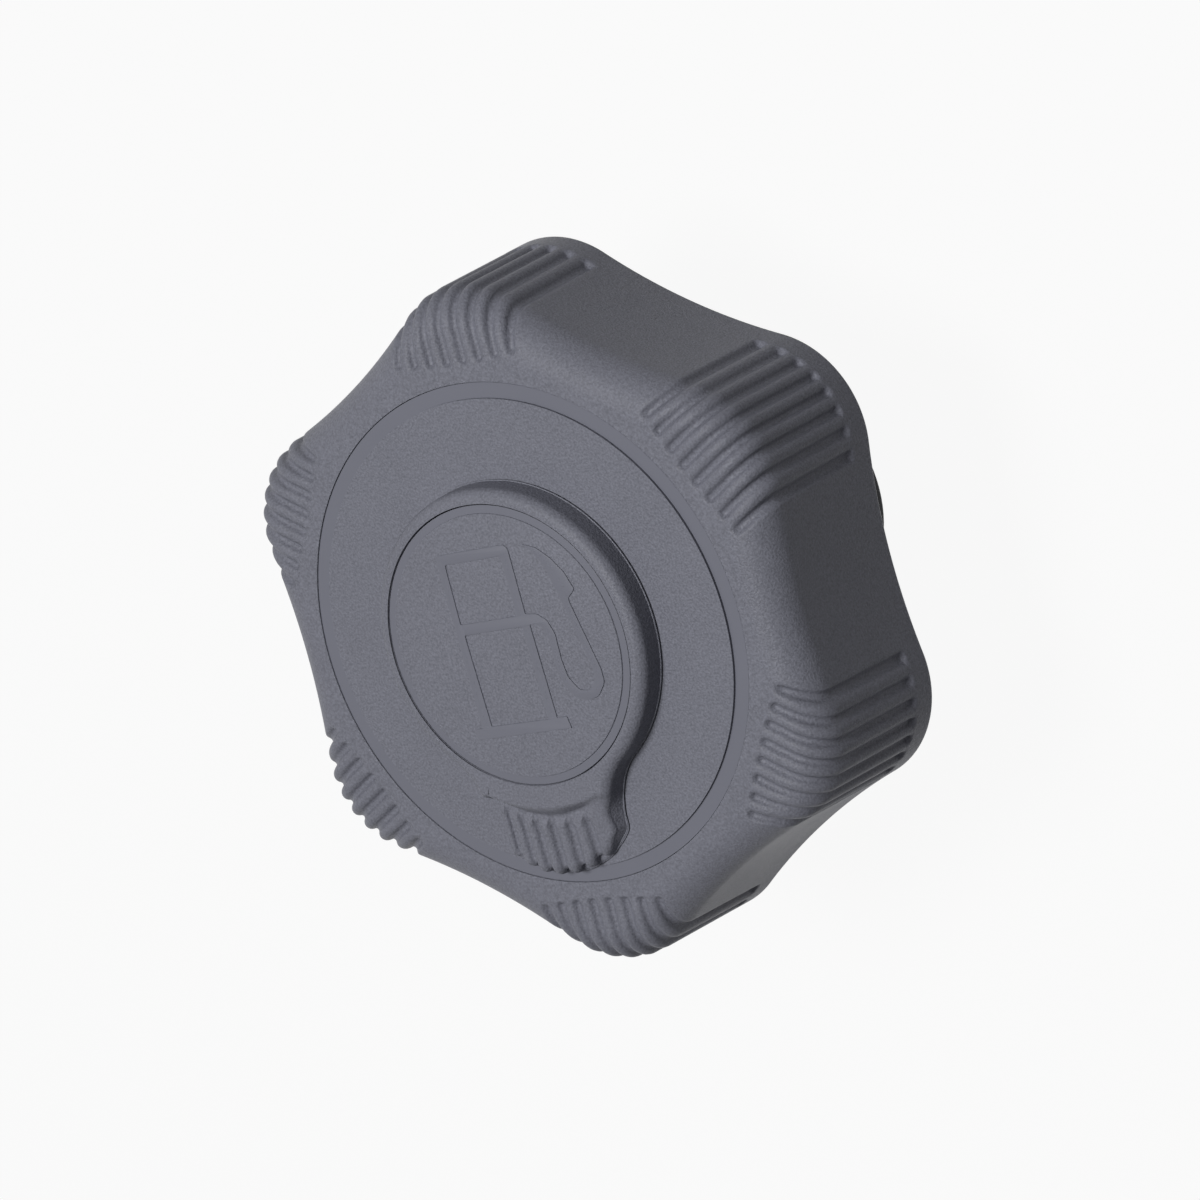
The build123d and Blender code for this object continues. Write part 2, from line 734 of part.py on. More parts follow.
# Bolt: flat slider driven by its pin in the cam's slot
with BuildPart() as lock_bolt:
    with BuildSketch(Plane.XY.offset(bolt_low_z)):
        with Locations((cam_pin_start, 0)):
            Circle(bolt_width / 2)
        with Locations(((cam_pin_start + bolt_tip_x) / 2, 0)):
            Rectangle(bolt_tip_x - cam_pin_start, bolt_width)
        Circle(cam_screw_head_r + bolt_notch_gap, mode=Mode.SUBTRACT)
    extrude(amount=bolt_thick)
    chamfer(lock_bolt.edges().filter_by(Axis.Z).group_by(Axis.X)[-1], 2 * small_edge)
    with BuildSketch(Plane.XY.offset(bolt_top_z)):
        with Locations((cam_pin_start, 0)):
            Circle(cam_pin_r)
    extrude(amount=cam_top_z - bolt_top_z)
lock_bolt.part.label = "lock_bolt"
export_step(lock_bolt.part, "parts/lock_bolt.step")

# Bolt guide: dish with two rails, on three posts under the grip's bosses
with BuildPart() as bolt_guide:
    rail_y = bolt_width / 2 + slide_gap + rail_width / 2
    with BuildSketch(Plane.XY.offset(guide_low_z)):
        Circle(guide_r)
    extrude(amount=guide_floor)
    with BuildSketch(Plane.XY.offset(guide_floor_z)):
        with Locations((bolt_tip_x / 2, rail_y), (bolt_tip_x / 2, -rail_y)):
            Rectangle(bolt_tip_x - cam_pin_start, rail_width)
    extrude(amount=bolt_top_z - guide_floor_z)
    with BuildSketch(Plane.XY.offset(guide_floor_z)):
        with PolarLocations(guide_post_circle_r, guide_post_count, boss_angle):
            Circle(guide_post_r)
    extrude(amount=barrel_end_z - guide_floor_z)
    with BuildSketch(Plane.XY.offset(guide_floor_z)):
        with Locations(((cam_pin_start + bolt_tip_x) / 2 + bolt_travel, 0)):
            Rectangle(bolt_tip_x + bolt_travel, bolt_width + 2 * slide_gap)
    extrude(amount=bolt_top_z - guide_floor_z, mode=Mode.SUBTRACT)
    with BuildSketch(Plane.XY.offset(guide_low_z)):
        with PolarLocations(guide_post_circle_r, guide_post_count, boss_angle):
            Circle(guide_screw_r + seat_gap)
    extrude(amount=barrel_end_z - guide_low_z, mode=Mode.SUBTRACT)
    with BuildSketch(Plane.XY.offset(guide_low_z)):
        with PolarLocations(guide_post_circle_r, guide_post_count, boss_angle):
            Circle(guide_screw_head_r + slide_gap)
    extrude(amount=guide_screw_head_thick + slide_gap, mode=Mode.SUBTRACT)
bolt_guide.part.label = "bolt_guide"
export_step(bolt_guide.part, "parts/bolt_guide.step")

guide_screws = screw_set(
    guide_post_circle_r, guide_post_count, boss_angle, guide_low_z + slide_gap, guide_screw_head_r,
    guide_screw_head_thick, guide_screw_r, guide_screw_length,
)
guide_screws.label = "guide_screws"
export_step(guide_screws, "parts/guide_screws.step")

# Key cover: round head with a ribbed thumb tab, hollow below, swinging on the pivot pin
with BuildPart() as key_cover:
    cover_top_z = face_z + cover_top
    badge_floor_z = face_z + badge_seat_z
    with BuildSketch(Plane.XY.offset(cover_top_z)):
        add(cover_outline((cover_top_z - cover_low_z) * tan(radians(cover_draft))))
    extrude(amount=cover_low_z - cover_top_z, taper=-cover_draft)
    fillet(key_cover.faces().sort_by(Axis.Z)[-1].edges(), cover_edge_r)
    with BuildSketch(Plane.XZ):
        with BuildLine():
            pad_r = step_r + step_width
            far_r = plate_disc_r + step_width
            RadiusArc((step_r, cover_top_z), (pad_r, pad_level(pad_r)), -step_width)
            Polyline(
                (pad_r, pad_level(pad_r)), (far_r, pad_level(far_r)),
                (far_r, cover_top_z), (step_r, cover_top_z),
            )
        make_face()
    revolve(axis=Axis.Z, mode=Mode.SUBTRACT)
    for k in range(pad_groove_count):
        side = (k - (pad_groove_count - 1) / 2) * pad_groove_pitch
        add(pad_cutter(pad_centre_x + side), mode=Mode.SUBTRACT)
    with BuildSketch(Plane.XY.offset(badge_floor_z)):
        Circle(badge_pocket_r)
    extrude(amount=cover_top, mode=Mode.SUBTRACT)
    with BuildSketch(Plane.XY.offset(cover_low_z)):
        add(cover_outline(cover_wall))
        with Locations((0, pivot_y)):
            Circle(pivot_boss_r, mode=Mode.SUBTRACT)
        Circle(seal_out_r + seal_boss_wall, mode=Mode.SUBTRACT)
        Circle(seal_in_r - seal_boss_wall)
    extrude(amount=relief_depth, mode=Mode.SUBTRACT)
    with BuildSketch(Plane.XY.offset(cover_low_z)):
        Circle(seal_out_r + seat_gap)
        Circle(seal_in_r - seat_gap, mode=Mode.SUBTRACT)
    extrude(amount=seal_height - face_gap, mode=Mode.SUBTRACT)
    with BuildSketch(Plane.XY.offset(cover_low_z)):
        with Locations((0, pivot_y)):
            Circle(pin_r + running_fit)
    extrude(amount=cover_top, mode=Mode.SUBTRACT)
    with BuildSketch(Plane.XY.offset(cover_low_z)):
        with Locations((0, pivot_y)):
            Circle(friction_washer_r + slide_gap)
    extrude(amount=friction_washer_thick, mode=Mode.SUBTRACT)
    with BuildSketch(Plane.XY.offset(badge_floor_z)):
        with Locations((0, pivot_y)):
            Circle(pin_head_r + slide_gap)
    extrude(amount=-pin_head_thick - slide_gap, mode=Mode.SUBTRACT)
    with BuildSketch(Plane.XY.offset(face_z - stop_depth)):
        with Locations((0, pivot_y - stop_circle_r)):
            Circle(stop_r)
    extrude(amount=cover_low_z - face_z + stop_depth + relief_depth)
key_cover.part.label = "key_cover"
export_step(key_cover.part, "parts/key_cover.step")

# Badge: round insert glued into the head, with a raised disc inside a plain band
with BuildPart() as cover_badge:
    with BuildSketch(Plane.XY.offset(face_z + badge_seat_z)):
        Circle(badge_pocket_r - badge_gap)
    extrude(amount=badge_band_z - badge_seat_z)
    with BuildSketch(Plane.XY.offset(face_z + badge_band_z)):
        Circle(badge_disc_r)
    extrude(amount=badge_top - badge_band_z)
    fillet(cover_badge.faces().sort_by(Axis.Z)[-1].edges(), badge_edge_r)
cover_badge.part.label = "cover_badge"
export_step(cover_badge.part, "parts/cover_badge.step")

# Pivot pin: headed rivet through the cover, the face plate and the grip's web
with BuildPart() as pivot_pin:
    with BuildSketch(Plane.XY.offset(web_low_z - pin_end_below)):
        with Locations((0, pivot_y)):
            Circle(pin_r)
    extrude(amount=face_z + badge_seat_z - face_gap - web_low_z + pin_end_below)
    with BuildSketch(Plane.XY.offset(face_z + badge_seat_z - face_gap)):
        with Locations((0, pivot_y)):
            Circle(pin_head_r)
    extrude(amount=-pin_head_thick)
    with BuildSketch(Plane.XY.offset(web_low_z)):
        with Locations((0, pivot_y)):
            Circle(clip_r)
            Circle(pin_neck_r, mode=Mode.SUBTRACT)
    extrude(amount=-clip_thick, mode=Mode.SUBTRACT)
pivot_pin.part.label = "pivot_pin"
export_step(pivot_pin.part, "parts/pivot_pin.step")

# Push-on clip that grips the pin below the web
with BuildPart() as pin_clip:
    with BuildSketch(Plane.XY.offset(web_low_z - clip_thick)):
        with Locations((0, pivot_y)):
            Circle(clip_r)
            Circle(pin_neck_r + seat_gap, mode=Mode.SUBTRACT)
            Rectangle(clip_r, pin_r, align=(Align.MIN, Align.CENTER), mode=Mode.SUBTRACT)
    extrude(amount=clip_thick)
pin_clip.part.label = "pin_clip"
export_step(pin_clip.part, "parts/pin_clip.step")

# Friction washer that holds the cover wherever it is pushed
with BuildPart() as friction_washer:
    with BuildSketch(Plane.XY.offset(disc_top_z)):
        with Locations((0, pivot_y)):
            Circle(friction_washer_r)
            Circle(pin_r + slide_gap, mode=Mode.SUBTRACT)
    extrude(amount=friction_washer_thick + cover_lift)
friction_washer.part.label = "friction_washer"
export_step(friction_washer.part, "parts/friction_washer.step")

# Rubber ring that keeps dust out of the keyhole
keyhole_seal = tube(
    seal_out_r, seal_in_r, cover_low_z - face_gap, cover_low_z + seal_height - face_gap
)
keyhole_seal.label = "keyhole_seal"
export_step(keyhole_seal, "parts/keyhole_seal.step")

# Plug: moulded body with the collar for the grip, the dogs, the gasket seat,
# three bayonet lugs and the pilot that carries the vent cartridge
with BuildPart() as bayonet_plug:
    with BuildSketch(Plane.XZ):
        with BuildLine():
            Polyline(
                (pilot_bore_r, 0), (pilot_r, 0), (pilot_r, pilot_length),
                (plug_r, pilot_length + pilot_taper), (plug_r, gasket_foot_z),
                (gasket_lip_r, gasket_foot_z), (gasket_lip_r, gasket_low_z),
                (collar_r, gasket_low_z), (collar_r, gasket_top_z),
                (seal_flange_r, gasket_top_z), (seal_flange_r, gasket_top_z + seal_flange_thick),
                (collar_r, gasket_top_z + seal_flange_thick), (collar_r, collar_flange_z),
                (collar_flange_r, collar_flange_z), (collar_flange_r, collar_top_z),
                (collar_bore_r, collar_top_z), (collar_bore_r, dog_floor_z),
                (dog_bore_r, dog_floor_z), (dog_bore_r, plug_floor_z + plug_floor_thick),
                (0, plug_floor_z + plug_floor_thick), (0, plug_floor_z),
                (plug_r - plug_wall, plug_floor_z),
                (plug_r - plug_wall, shoulder_top_z + plug_r - plug_wall - shoulder_in_r),
                (shoulder_in_r, shoulder_top_z), (shoulder_in_r, house_flange_top),
                (pilot_bore_r, house_flange_top), (pilot_bore_r, 0),
            )
        make_face()
    revolve(axis=Axis.Z)
    with BuildSketch(Plane.XY.offset(dog_floor_z)):
        Circle(collar_bore_r)
        Circle(dog_bore_r, mode=Mode.SUBTRACT)
        with PolarLocations(collar_bore_r, dog_count):
            Rectangle(2 * collar_bore_r, dog_slot_width, mode=Mode.SUBTRACT)
    extrude(amount=dog_height)
    with BuildSketch(Plane.XY.offset(plug_floor_z)):
        with PolarLocations(plug_vent_circle_r, plug_vent_count):
            Circle(plug_vent_r)
    extrude(amount=plug_floor_thick, mode=Mode.SUBTRACT)
    fillet(
        bayonet_plug.edges().filter_by(GeomType.CIRCLE).group_by(Axis.Z)[0].sort_by(SortBy.RADIUS)[-1],
        pilot_edge_r,
    )
    for k in range(lug_count):
        add(bayonet_lug(), rotation=(0, 0, first_lobe + k * 360.0 / lug_count))
bayonet_plug.part.label = "bayonet_plug"
export_step(bayonet_plug.part, "parts/bayonet_plug.step")

# Low-friction ring between the collar's top and the grip
thrust_ring = tube(
    collar_flange_r - 2 * slide_gap, collar_bore_r + 2 * slide_gap, collar_top_z, thrust_top_z
)
thrust_ring.label = "thrust_ring"
export_step(thrust_ring, "parts/thrust_ring.step")

# Neck gasket: flat rubber ring with a groove between its two working lands
with BuildPart() as neck_gasket:
    groove_mid_r = (collar_r + gasket_out_r) / 2
    with BuildSketch(Plane.XY.offset(gasket_low_z)):
        Circle(gasket_out_r)
        Circle(collar_r + seat_gap, mode=Mode.SUBTRACT)
    extrude(amount=gasket_thick)
    with BuildSketch(Plane.XY.offset(gasket_low_z)):
        Circle(groove_mid_r + gasket_groove_width / 2)
        Circle(groove_mid_r - gasket_groove_width / 2, mode=Mode.SUBTRACT)
    extrude(amount=gasket_groove_depth, mode=Mode.SUBTRACT)
    chamfer(
        neck_gasket.edges().filter_by(GeomType.CIRCLE).group_by(Axis.Z)[0].sort_by(SortBy.RADIUS)[-1],
        gasket_groove_depth,
    )
neck_gasket.part.label = "neck_gasket"
export_step(neck_gasket.part, "parts/neck_gasket.step")

# Vent cartridge housing: flange with an O-ring groove, valve seat and a vented roof
with BuildPart() as valve_housing:
    groove_half = oring_section_r + seat_gap
    with BuildSketch(Plane.XZ):
        with BuildLine():
            Polyline(
                (inlet_r, house_flange_z), (house_flange_r, house_flange_z),
                (house_flange_r, oring_z - groove_half),
                (pilot_bore_r - 2 * oring_section_r, oring_z - groove_half),
                (pilot_bore_r - 2 * oring_section_r, oring_z + groove_half),
                (house_flange_r, oring_z + groove_half), (house_flange_r, house_flange_top),
                (house_r, house_flange_top), (house_r, house_top_z),
                (0, house_top_z), (0, house_top_z - house_roof),
                (house_bore_r, house_top_z - house_roof), (house_bore_r, seat_floor_top),
                (seat_rim_out_r, seat_floor_top), (seat_rim_out_r, seat_top_z),
                (seat_rim_in_r, seat_top_z), (seat_rim_in_r, seat_floor_top),
                (seat_hole_r, seat_floor_top), (seat_hole_r, seat_floor_z),
                (inlet_r, seat_floor_z), (inlet_r, house_flange_z),
            )
        make_face()
    revolve(axis=Axis.Z)
    with BuildSketch(Plane.XY.offset(house_top_z)):
        with PolarLocations(roof_hole_circle_r, roof_hole_count):
            Circle(roof_hole_r)
        Circle(stem_clip_r)
    extrude(amount=-house_roof, mode=Mode.SUBTRACT)
valve_housing.part.label = "valve_housing"
export_step(valve_housing.part, "parts/valve_housing.step")

# O-ring between the cartridge and the pilot's bore
with BuildPart() as housing_oring:
    with Locations((0, 0, oring_z)):
        Torus(pilot_bore_r - oring_section_r, oring_section_r - seat_gap / 2)
housing_oring.part.label = "housing_oring"
export_step(housing_oring.part, "parts/housing_oring.step")

# Sintered filter disc in the cartridge's inlet
with BuildPart() as filter_disc:
    with BuildSketch(Plane.XY.offset(house_flange_z)):
        Circle(inlet_r - seat_gap)
    extrude(amount=filter_thick)
filter_disc.part.label = "filter_disc"
export_step(filter_disc.part, "parts/filter_disc.step")

# End retainer: slotted disc pressed into the plug's end
with BuildPart() as end_retainer:
    with BuildSketch(Plane.XY.offset(house_flange_z - retainer_thick)):
        Circle(pilot_bore_r - seat_gap)
        with PolarLocations(
            (retainer_slot_in_r + retainer_slot_out_r) / 2, retainer_slot_count
        ):
            SlotOverall(
                retainer_slot_out_r - retainer_slot_in_r, retainer_slot_width,
                mode=Mode.SUBTRACT,
            )
    extrude(amount=retainer_thick)
    chamfer(end_retainer.faces().sort_by(Axis.Z)[0].edges().sort_by(SortBy.LENGTH)[-1], small_edge)
end_retainer.part.label = "end_retainer"
export_step(end_retainer.part, "parts/end_retainer.step")

# Pressure valve disc with its guide boss and the vacuum ports
with BuildPart() as pressure_disc:
    with BuildSketch(Plane.XY.offset(seat_top_z)):
        Circle(disc_r)
    extrude(amount=disc_thick)
    with BuildSketch(Plane.XY.offset(seat_top_z + disc_thick)):
        Circle(disc_boss_r)
    extrude(amount=disc_boss_top - seat_top_z - disc_thick)
    with BuildSketch(Plane.XY.offset(seat_top_z)):
        Circle(stem_r + running_fit)
        with PolarLocations(disc_port_circle_r, disc_port_count):
            Circle(disc_port_r)
    extrude(amount=disc_boss_top - seat_top_z, mode=Mode.SUBTRACT)
    with BuildSketch(Plane.XY.offset(seat_top_z)):
        Circle(disc_seal_out_r)
        Circle(disc_seal_in_r, mode=Mode.SUBTRACT)
    extrude(amount=disc_seal_thick, mode=Mode.SUBTRACT)
pressure_disc.part.label = "pressure_disc"
export_step(pressure_disc.part, "parts/pressure_disc.step")

# Rubber ring let into the underside of the pressure disc
pressure_seal = tube(disc_seal_out_r, disc_seal_in_r, seat_top_z, seat_top_z + disc_seal_thick)
pressure_seal.label = "pressure_seal"
export_step(pressure_seal, "parts/pressure_seal.step")

# Vacuum valve: poppet on a stem through the pressure disc
with BuildPart() as vacuum_poppet:
    with BuildSketch(Plane.XY.offset(seat_top_z - poppet_seal_thick - poppet_thick)):
        Circle(poppet_r)
    extrude(amount=poppet_thick)
    with BuildSketch(Plane.XY.offset(seat_top_z - poppet_seal_thick)):
        Circle(stem_r)
    extrude(amount=stem_top_z - seat_top_z + poppet_seal_thick)
    with BuildSketch(Plane.XY.offset(stem_clip_z)):
        Circle(stem_clip_r)
        Circle(stem_neck_r, mode=Mode.SUBTRACT)
    extrude(amount=stem_clip_thick, mode=Mode.SUBTRACT)
    fillet(vacuum_poppet.faces().sort_by(Axis.Z)[0].edges(), poppet_thick / 3)
vacuum_poppet.part.label = "vacuum_poppet"
export_step(vacuum_poppet.part, "parts/vacuum_poppet.step")

# Rubber washer on the poppet, against the underside of the pressure disc
vacuum_seal = tube(
    poppet_r, stem_r + seat_gap, seat_top_z - poppet_seal_thick, seat_top_z
)
vacuum_seal.label = "vacuum_seal"
export_step(vacuum_seal, "parts/vacuum_seal.step")

# Clip in the stem's neck that the vacuum spring pushes on
stem_clip = tube(stem_clip_r, stem_neck_r + seat_gap, stem_clip_z, stem_clip_z + stem_clip_thick)
stem_clip.label = "stem_clip"
export_step(stem_clip, "parts/stem_clip.step")

# Valve springs
pressure_spring = coil(
    pressure_coil_r, pressure_wire_r, seat_top_z + disc_thick,
    house_top_z - house_roof, pressure_turns,
)
pressure_spring.label = "pressure_spring"
export_step(pressure_spring, "parts/pressure_spring.step")

vacuum_spring = coil(
    vacuum_coil_r, vacuum_wire_r, disc_boss_top, stem_clip_z, vacuum_turns
)
vacuum_spring.label = "vacuum_spring"
export_step(vacuum_spring, "parts/vacuum_spring.step")
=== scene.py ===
import bmesh
import bpy
import numpy as np
from mathutils import Matrix


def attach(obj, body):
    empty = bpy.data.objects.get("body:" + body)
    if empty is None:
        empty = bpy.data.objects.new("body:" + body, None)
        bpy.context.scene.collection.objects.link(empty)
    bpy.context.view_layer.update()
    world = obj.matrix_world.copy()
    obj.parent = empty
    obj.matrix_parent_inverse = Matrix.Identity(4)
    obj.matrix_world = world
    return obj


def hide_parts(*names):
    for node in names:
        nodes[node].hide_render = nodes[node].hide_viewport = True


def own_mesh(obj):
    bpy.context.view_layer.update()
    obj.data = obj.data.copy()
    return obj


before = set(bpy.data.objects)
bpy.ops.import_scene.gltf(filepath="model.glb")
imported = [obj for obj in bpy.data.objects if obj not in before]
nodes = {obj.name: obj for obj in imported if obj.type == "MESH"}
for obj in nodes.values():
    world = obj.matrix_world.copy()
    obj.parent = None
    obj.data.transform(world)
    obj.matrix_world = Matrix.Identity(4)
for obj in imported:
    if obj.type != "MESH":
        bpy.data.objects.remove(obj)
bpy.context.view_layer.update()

# Grip: one injection moulding in grained dark grey plastic, turned by hand. Each of its six
# lobes carries eight round flutes, cut in the mould, which start on the front, run over the
# shoulder and end above the back edge. It hangs on the plug's collar by a screwed ring.
FACE = 73.5  # front plane of the grip above the plug's end, in mm; all pieces are built in mm
GRIP_HEIGHT = 31.0
DRAFT = np.radians(2.3)
VALLEY_R, TIP_R, TIP_ARC_R, SHOULDER_R = 49.75, 56.75, 16.35, 6.6
BACK_EDGE_R, BACK_EDGE_WIDTH = 0.8, 2.8
POCKET_R = 42.05
PITCH = 3.3
FLUTES_PER_LOBE = 8
FLUTE_BOTTOM_R, FLUTE_TOP_R, FLUTE_OUTER_R = 0.7, 1.2, 0.5
FLUTE_START, FLUTE_START_BOW = 45.8, 0.6
FLUTE_LENGTH_DOWN = 25.0
FLANK = np.radians(60)  # steepest slope of a groove's side


def piece(name, points, faces, body, slot="grip_plastic", node=None, looks=(), sharp=50,
          index=None):
    """Mesh object from points in mm and faces, riding on a body, with its finishes."""
    mesh = bpy.data.meshes.new(name)
    faces = faces if isinstance(faces, list) else faces.tolist()
    mesh.from_pydata((points * 0.001).tolist(), [], faces)
    for look in looks:
        mesh.materials.append(look)
    if index is not None:
        mesh.polygons.foreach_set("material_index", np.asarray(index, np.int32))
    join_points(mesh, 1e-7)
    mesh.shade_smooth()
    mesh.set_sharp_from_angle(angle=np.radians(sharp))
    obj = bpy.data.objects.new(name, mesh)
    bpy.context.scene.collection.objects.link(obj)
    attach(obj, body)
    if node:
        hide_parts(node)
    return obj


def join_points(mesh, distance):
    """Points of a mesh that lie closer than the distance, in m, become one."""
    work = bmesh.new()
    work.from_mesh(mesh)
    bmesh.ops.remove_doubles(work, verts=work.verts, dist=distance)
    work.to_mesh(mesh)
    work.free()


def ring_faces(rows, columns):
    """Quads between the rows of a grid of points whose last column joins the first."""
    r, c = np.meshgrid(np.arange(rows - 1), np.arange(columns), indexing="ij")
    right = (c + 1) % columns
    quads = [r * columns + c, r * columns + right, (r + 1) * columns + right, (r + 1) * columns + c]
    return np.stack(quads, -1).reshape(-1, 4)


def soft_step(low, high, value):
    """0 below low, 1 above high, and 3t^2 - 2t^3 of the share t between them."""
    t = np.clip((value - low) / (high - low), 0, 1)
    return t * t * (3 - 2 * t)


def groove(offset, bottom_r, top_r, outer_r):
    """Depth of a groove at a distance from its middle: an arc of the bottom's radius, then one of
    the top's radius, which meet at the flank's slope. The second depth is that of the last groove's
    outer side, where a straight flank leads to a smaller top radius. The third is the full depth."""
    offset = np.abs(offset)
    flank_at = bottom_r * np.sin(FLANK)
    full = bottom_r * 0.5 + top_r * 0.5
    bottom = full - bottom_r + np.sqrt(np.maximum(bottom_r**2 - offset**2, 0))
    to_crest = np.maximum(flank_at + top_r * np.sin(FLANK) - offset, 0)
    top = top_r - np.sqrt(np.maximum(top_r**2 - to_crest**2, 0))
    straight = (top_r - outer_r) * 0.5 / np.tan(FLANK)
    flank = top_r * 0.5 - (offset - flank_at) * np.tan(FLANK)
    to_edge = np.maximum(flank_at + straight + outer_r * np.sin(FLANK) - offset, 0)
    edge = outer_r - np.sqrt(np.maximum(outer_r**2 - to_edge**2, 0))
    outer = np.where(offset < flank_at + straight, flank, edge)
    return np.where(offset < flank_at, bottom, top), np.where(offset < flank_at, bottom, outer), full


def finish(name, colour, roughness, grain=0.0, grain_size=0.33, mottle=0.06, speckle=0.0,
           metallic=0.0, brushed=None, cloud_size=11.0, gloss=0.5):
    """Finish in Object coordinates. A wide noise moves the colour by the share mottle and the
    roughness by 0.05; a fine noise of grain_size mm scales the colour by the share speckle and
    raises the grain. Brushed holds the fine noise's stretch along the three axes."""
    look = bpy.data.materials.new(name)
    look.use_nodes = True
    tree, links = look.node_tree.nodes, look.node_tree.links
    shader = tree["Principled BSDF"]
    shader.inputs["Metallic"].default_value = metallic
    shader.inputs["Specular IOR Level"].default_value = gloss
    place = tree.new("ShaderNodeTexCoord")
    where = place.outputs["Object"]

    cloud = tree.new("ShaderNodeTexNoise")
    cloud.inputs["Scale"].default_value = 1000.0 / cloud_size
    cloud.inputs["Detail"].default_value = 3.0
    links.new(where, cloud.inputs["Vector"])
    if brushed:
        stretch = tree.new("ShaderNodeMapping")
        stretch.inputs["Scale"].default_value = brushed
        links.new(where, stretch.inputs["Vector"])
        where = stretch.outputs["Vector"]
    fine = tree.new("ShaderNodeTexNoise")
    fine.inputs["Scale"].default_value = 1000.0 / grain_size
    fine.inputs["Detail"].default_value = 2.0
    fine.inputs["Roughness"].default_value = 0.6
    links.new(where, fine.inputs["Vector"])

    tone = tree.new("ShaderNodeMix")
    tone.data_type = "RGBA"
    tone.inputs["A"].default_value = [c * (1 - mottle) for c in colour] + [1.0]
    tone.inputs["B"].default_value = [min(1.0, c * (1 + mottle)) for c in colour] + [1.0]
    links.new(cloud.outputs["Fac"], tone.inputs["Factor"])
    fleck = tree.new("ShaderNodeMapRange")
    fleck.inputs["From Min"].default_value = 0.3
    fleck.inputs["From Max"].default_value = 0.7
    fleck.inputs["To Min"].default_value = 1 - speckle
    fleck.inputs["To Max"].default_value = 1 + speckle
    links.new(fine.outputs["Fac"], fleck.inputs["Value"])
    shade = tree.new("ShaderNodeVectorMath")
    shade.operation = "SCALE"
    links.new(tone.outputs["Result"], shade.inputs["Vector"])
    links.new(fleck.outputs["Result"], shade.inputs["Scale"])
    links.new(shade.outputs["Vector"], shader.inputs["Base Color"])

    spread = tree.new("ShaderNodeMapRange")
    spread.inputs["To Min"].default_value = roughness - 0.05
    spread.inputs["To Max"].default_value = roughness + 0.05
    links.new(cloud.outputs["Fac"], spread.inputs["Value"])
    links.new(spread.outputs["Result"], shader.inputs["Roughness"])
    bump = tree.new("ShaderNodeBump")
    bump.inputs["Strength"].default_value = grain
    bump.inputs["Distance"].default_value = 0.0001
    links.new(fine.outputs["Fac"], bump.inputs["Height"])
    links.new(bump.outputs["Normal"], shader.inputs["Normal"])
    return look


def coat(look, *names):
    """Gives CAD nodes a finish through slots of their own objects."""
    for name in names:
        if not nodes[name].material_slots:
            nodes[name].data.materials.append(look)
        for place in nodes[name].material_slots:
            place.link = "OBJECT"
            place.material = look


grained_plastic = finish("grained_plastic", (0.134, 0.137, 0.163), 0.44, grain=1.3, grain_size=0.38,
                         speckle=0.22, gloss=0.15)

# The outline at the front: six lobe arcs joined by wide hollow arcs that touch them
lobe_x = TIP_R - TIP_ARC_R
hollow_r = (lobe_x**2 + VALLEY_R**2 - 2 * lobe_x * VALLEY_R * np.cos(np.pi / 6) - TIP_ARC_R**2) / (
    2 * (TIP_ARC_R + lobe_x * np.cos(np.pi / 6) - VALLEY_R))
hollow_centre = (VALLEY_R + hollow_r) * np.array([np.cos(np.pi / 6), np.sin(np.pi / 6)])
touch_angle = np.arctan2(hollow_centre[1], hollow_centre[0] - lobe_x)


def outward(x, y):
    """How far points lie outside the outline, and its direction outward there, with a lobe on +X:
    each point is turned into one lobe's half, and its distance is taken from the lobe's arc or from
    the hollow's, whichever its direction from the lobe's centre meets."""
    turn = np.round(np.arctan2(y, x) / (np.pi / 3)) * (np.pi / 3)
    c, s = np.cos(turn), np.sin(turn)
    along, across = x * c + y * s, -x * s + y * c
    mirror = np.where(across < 0, -1.0, 1.0)
    across = np.abs(across)
    lobe_dx = along - lobe_x
    hollow_dx, hollow_dy = hollow_centre[0] - along, hollow_centre[1] - across
    lobe, hollow = np.hypot(lobe_dx, across), np.hypot(hollow_dx, hollow_dy)
    on_lobe = np.arctan2(across, lobe_dx) < touch_angle
    distance = np.where(on_lobe, lobe - TIP_ARC_R, hollow_r - hollow)
    nx = np.where(on_lobe, lobe_dx / np.maximum(lobe, 1e-9), hollow_dx / hollow)
    ny = np.where(on_lobe, across / np.maximum(lobe, 1e-9), hollow_dy / hollow) * mirror
    return distance, nx * c - ny * s, nx * s + ny * c


# Columns of one lobe's grid: parallel lines along its flutes, then a fan over the hollow
flute_at = (np.arange(FLUTES_PER_LOBE) - 3.5) * PITCH
steps = np.array([0.2, 0.4, 0.58, 0.7, 0.85, 1.05, 1.3])
over_flute = np.concatenate([[-PITCH / 2], -steps[::-1], [0], steps])
over_flutes = (flute_at[:, None] + over_flute).ravel()
side = np.concatenate([[-14.2, -13.7], over_flutes, [13.2, 13.7, 14.2]])
side_angle = np.arcsin(side / POCKET_R)
fan_angle = np.linspace(side_angle[-1], np.pi / 3 + side_angle[0], 16)[1:-1]
fan_share = (fan_angle - side_angle[-1]) / (np.pi / 3 + side_angle[0] - side_angle[-1])
start_angle = np.concatenate([side_angle, fan_angle])
heading = np.concatenate([np.zeros(len(side)), np.pi / 3 * fan_share])
offset = np.concatenate([side, np.full(len(fan_angle), 99.0)])
start = POCKET_R * np.stack([np.cos(start_angle), np.sin(start_angle)], -1)
way = np.stack([np.cos(heading), np.sin(heading)], -1)
reach = np.linspace(0, 32, 640)
lines = start[:, None, :] + way[:, None, :] * reach[None, :, None]
line_out = outward(lines[..., 0], lines[..., 1])[0]


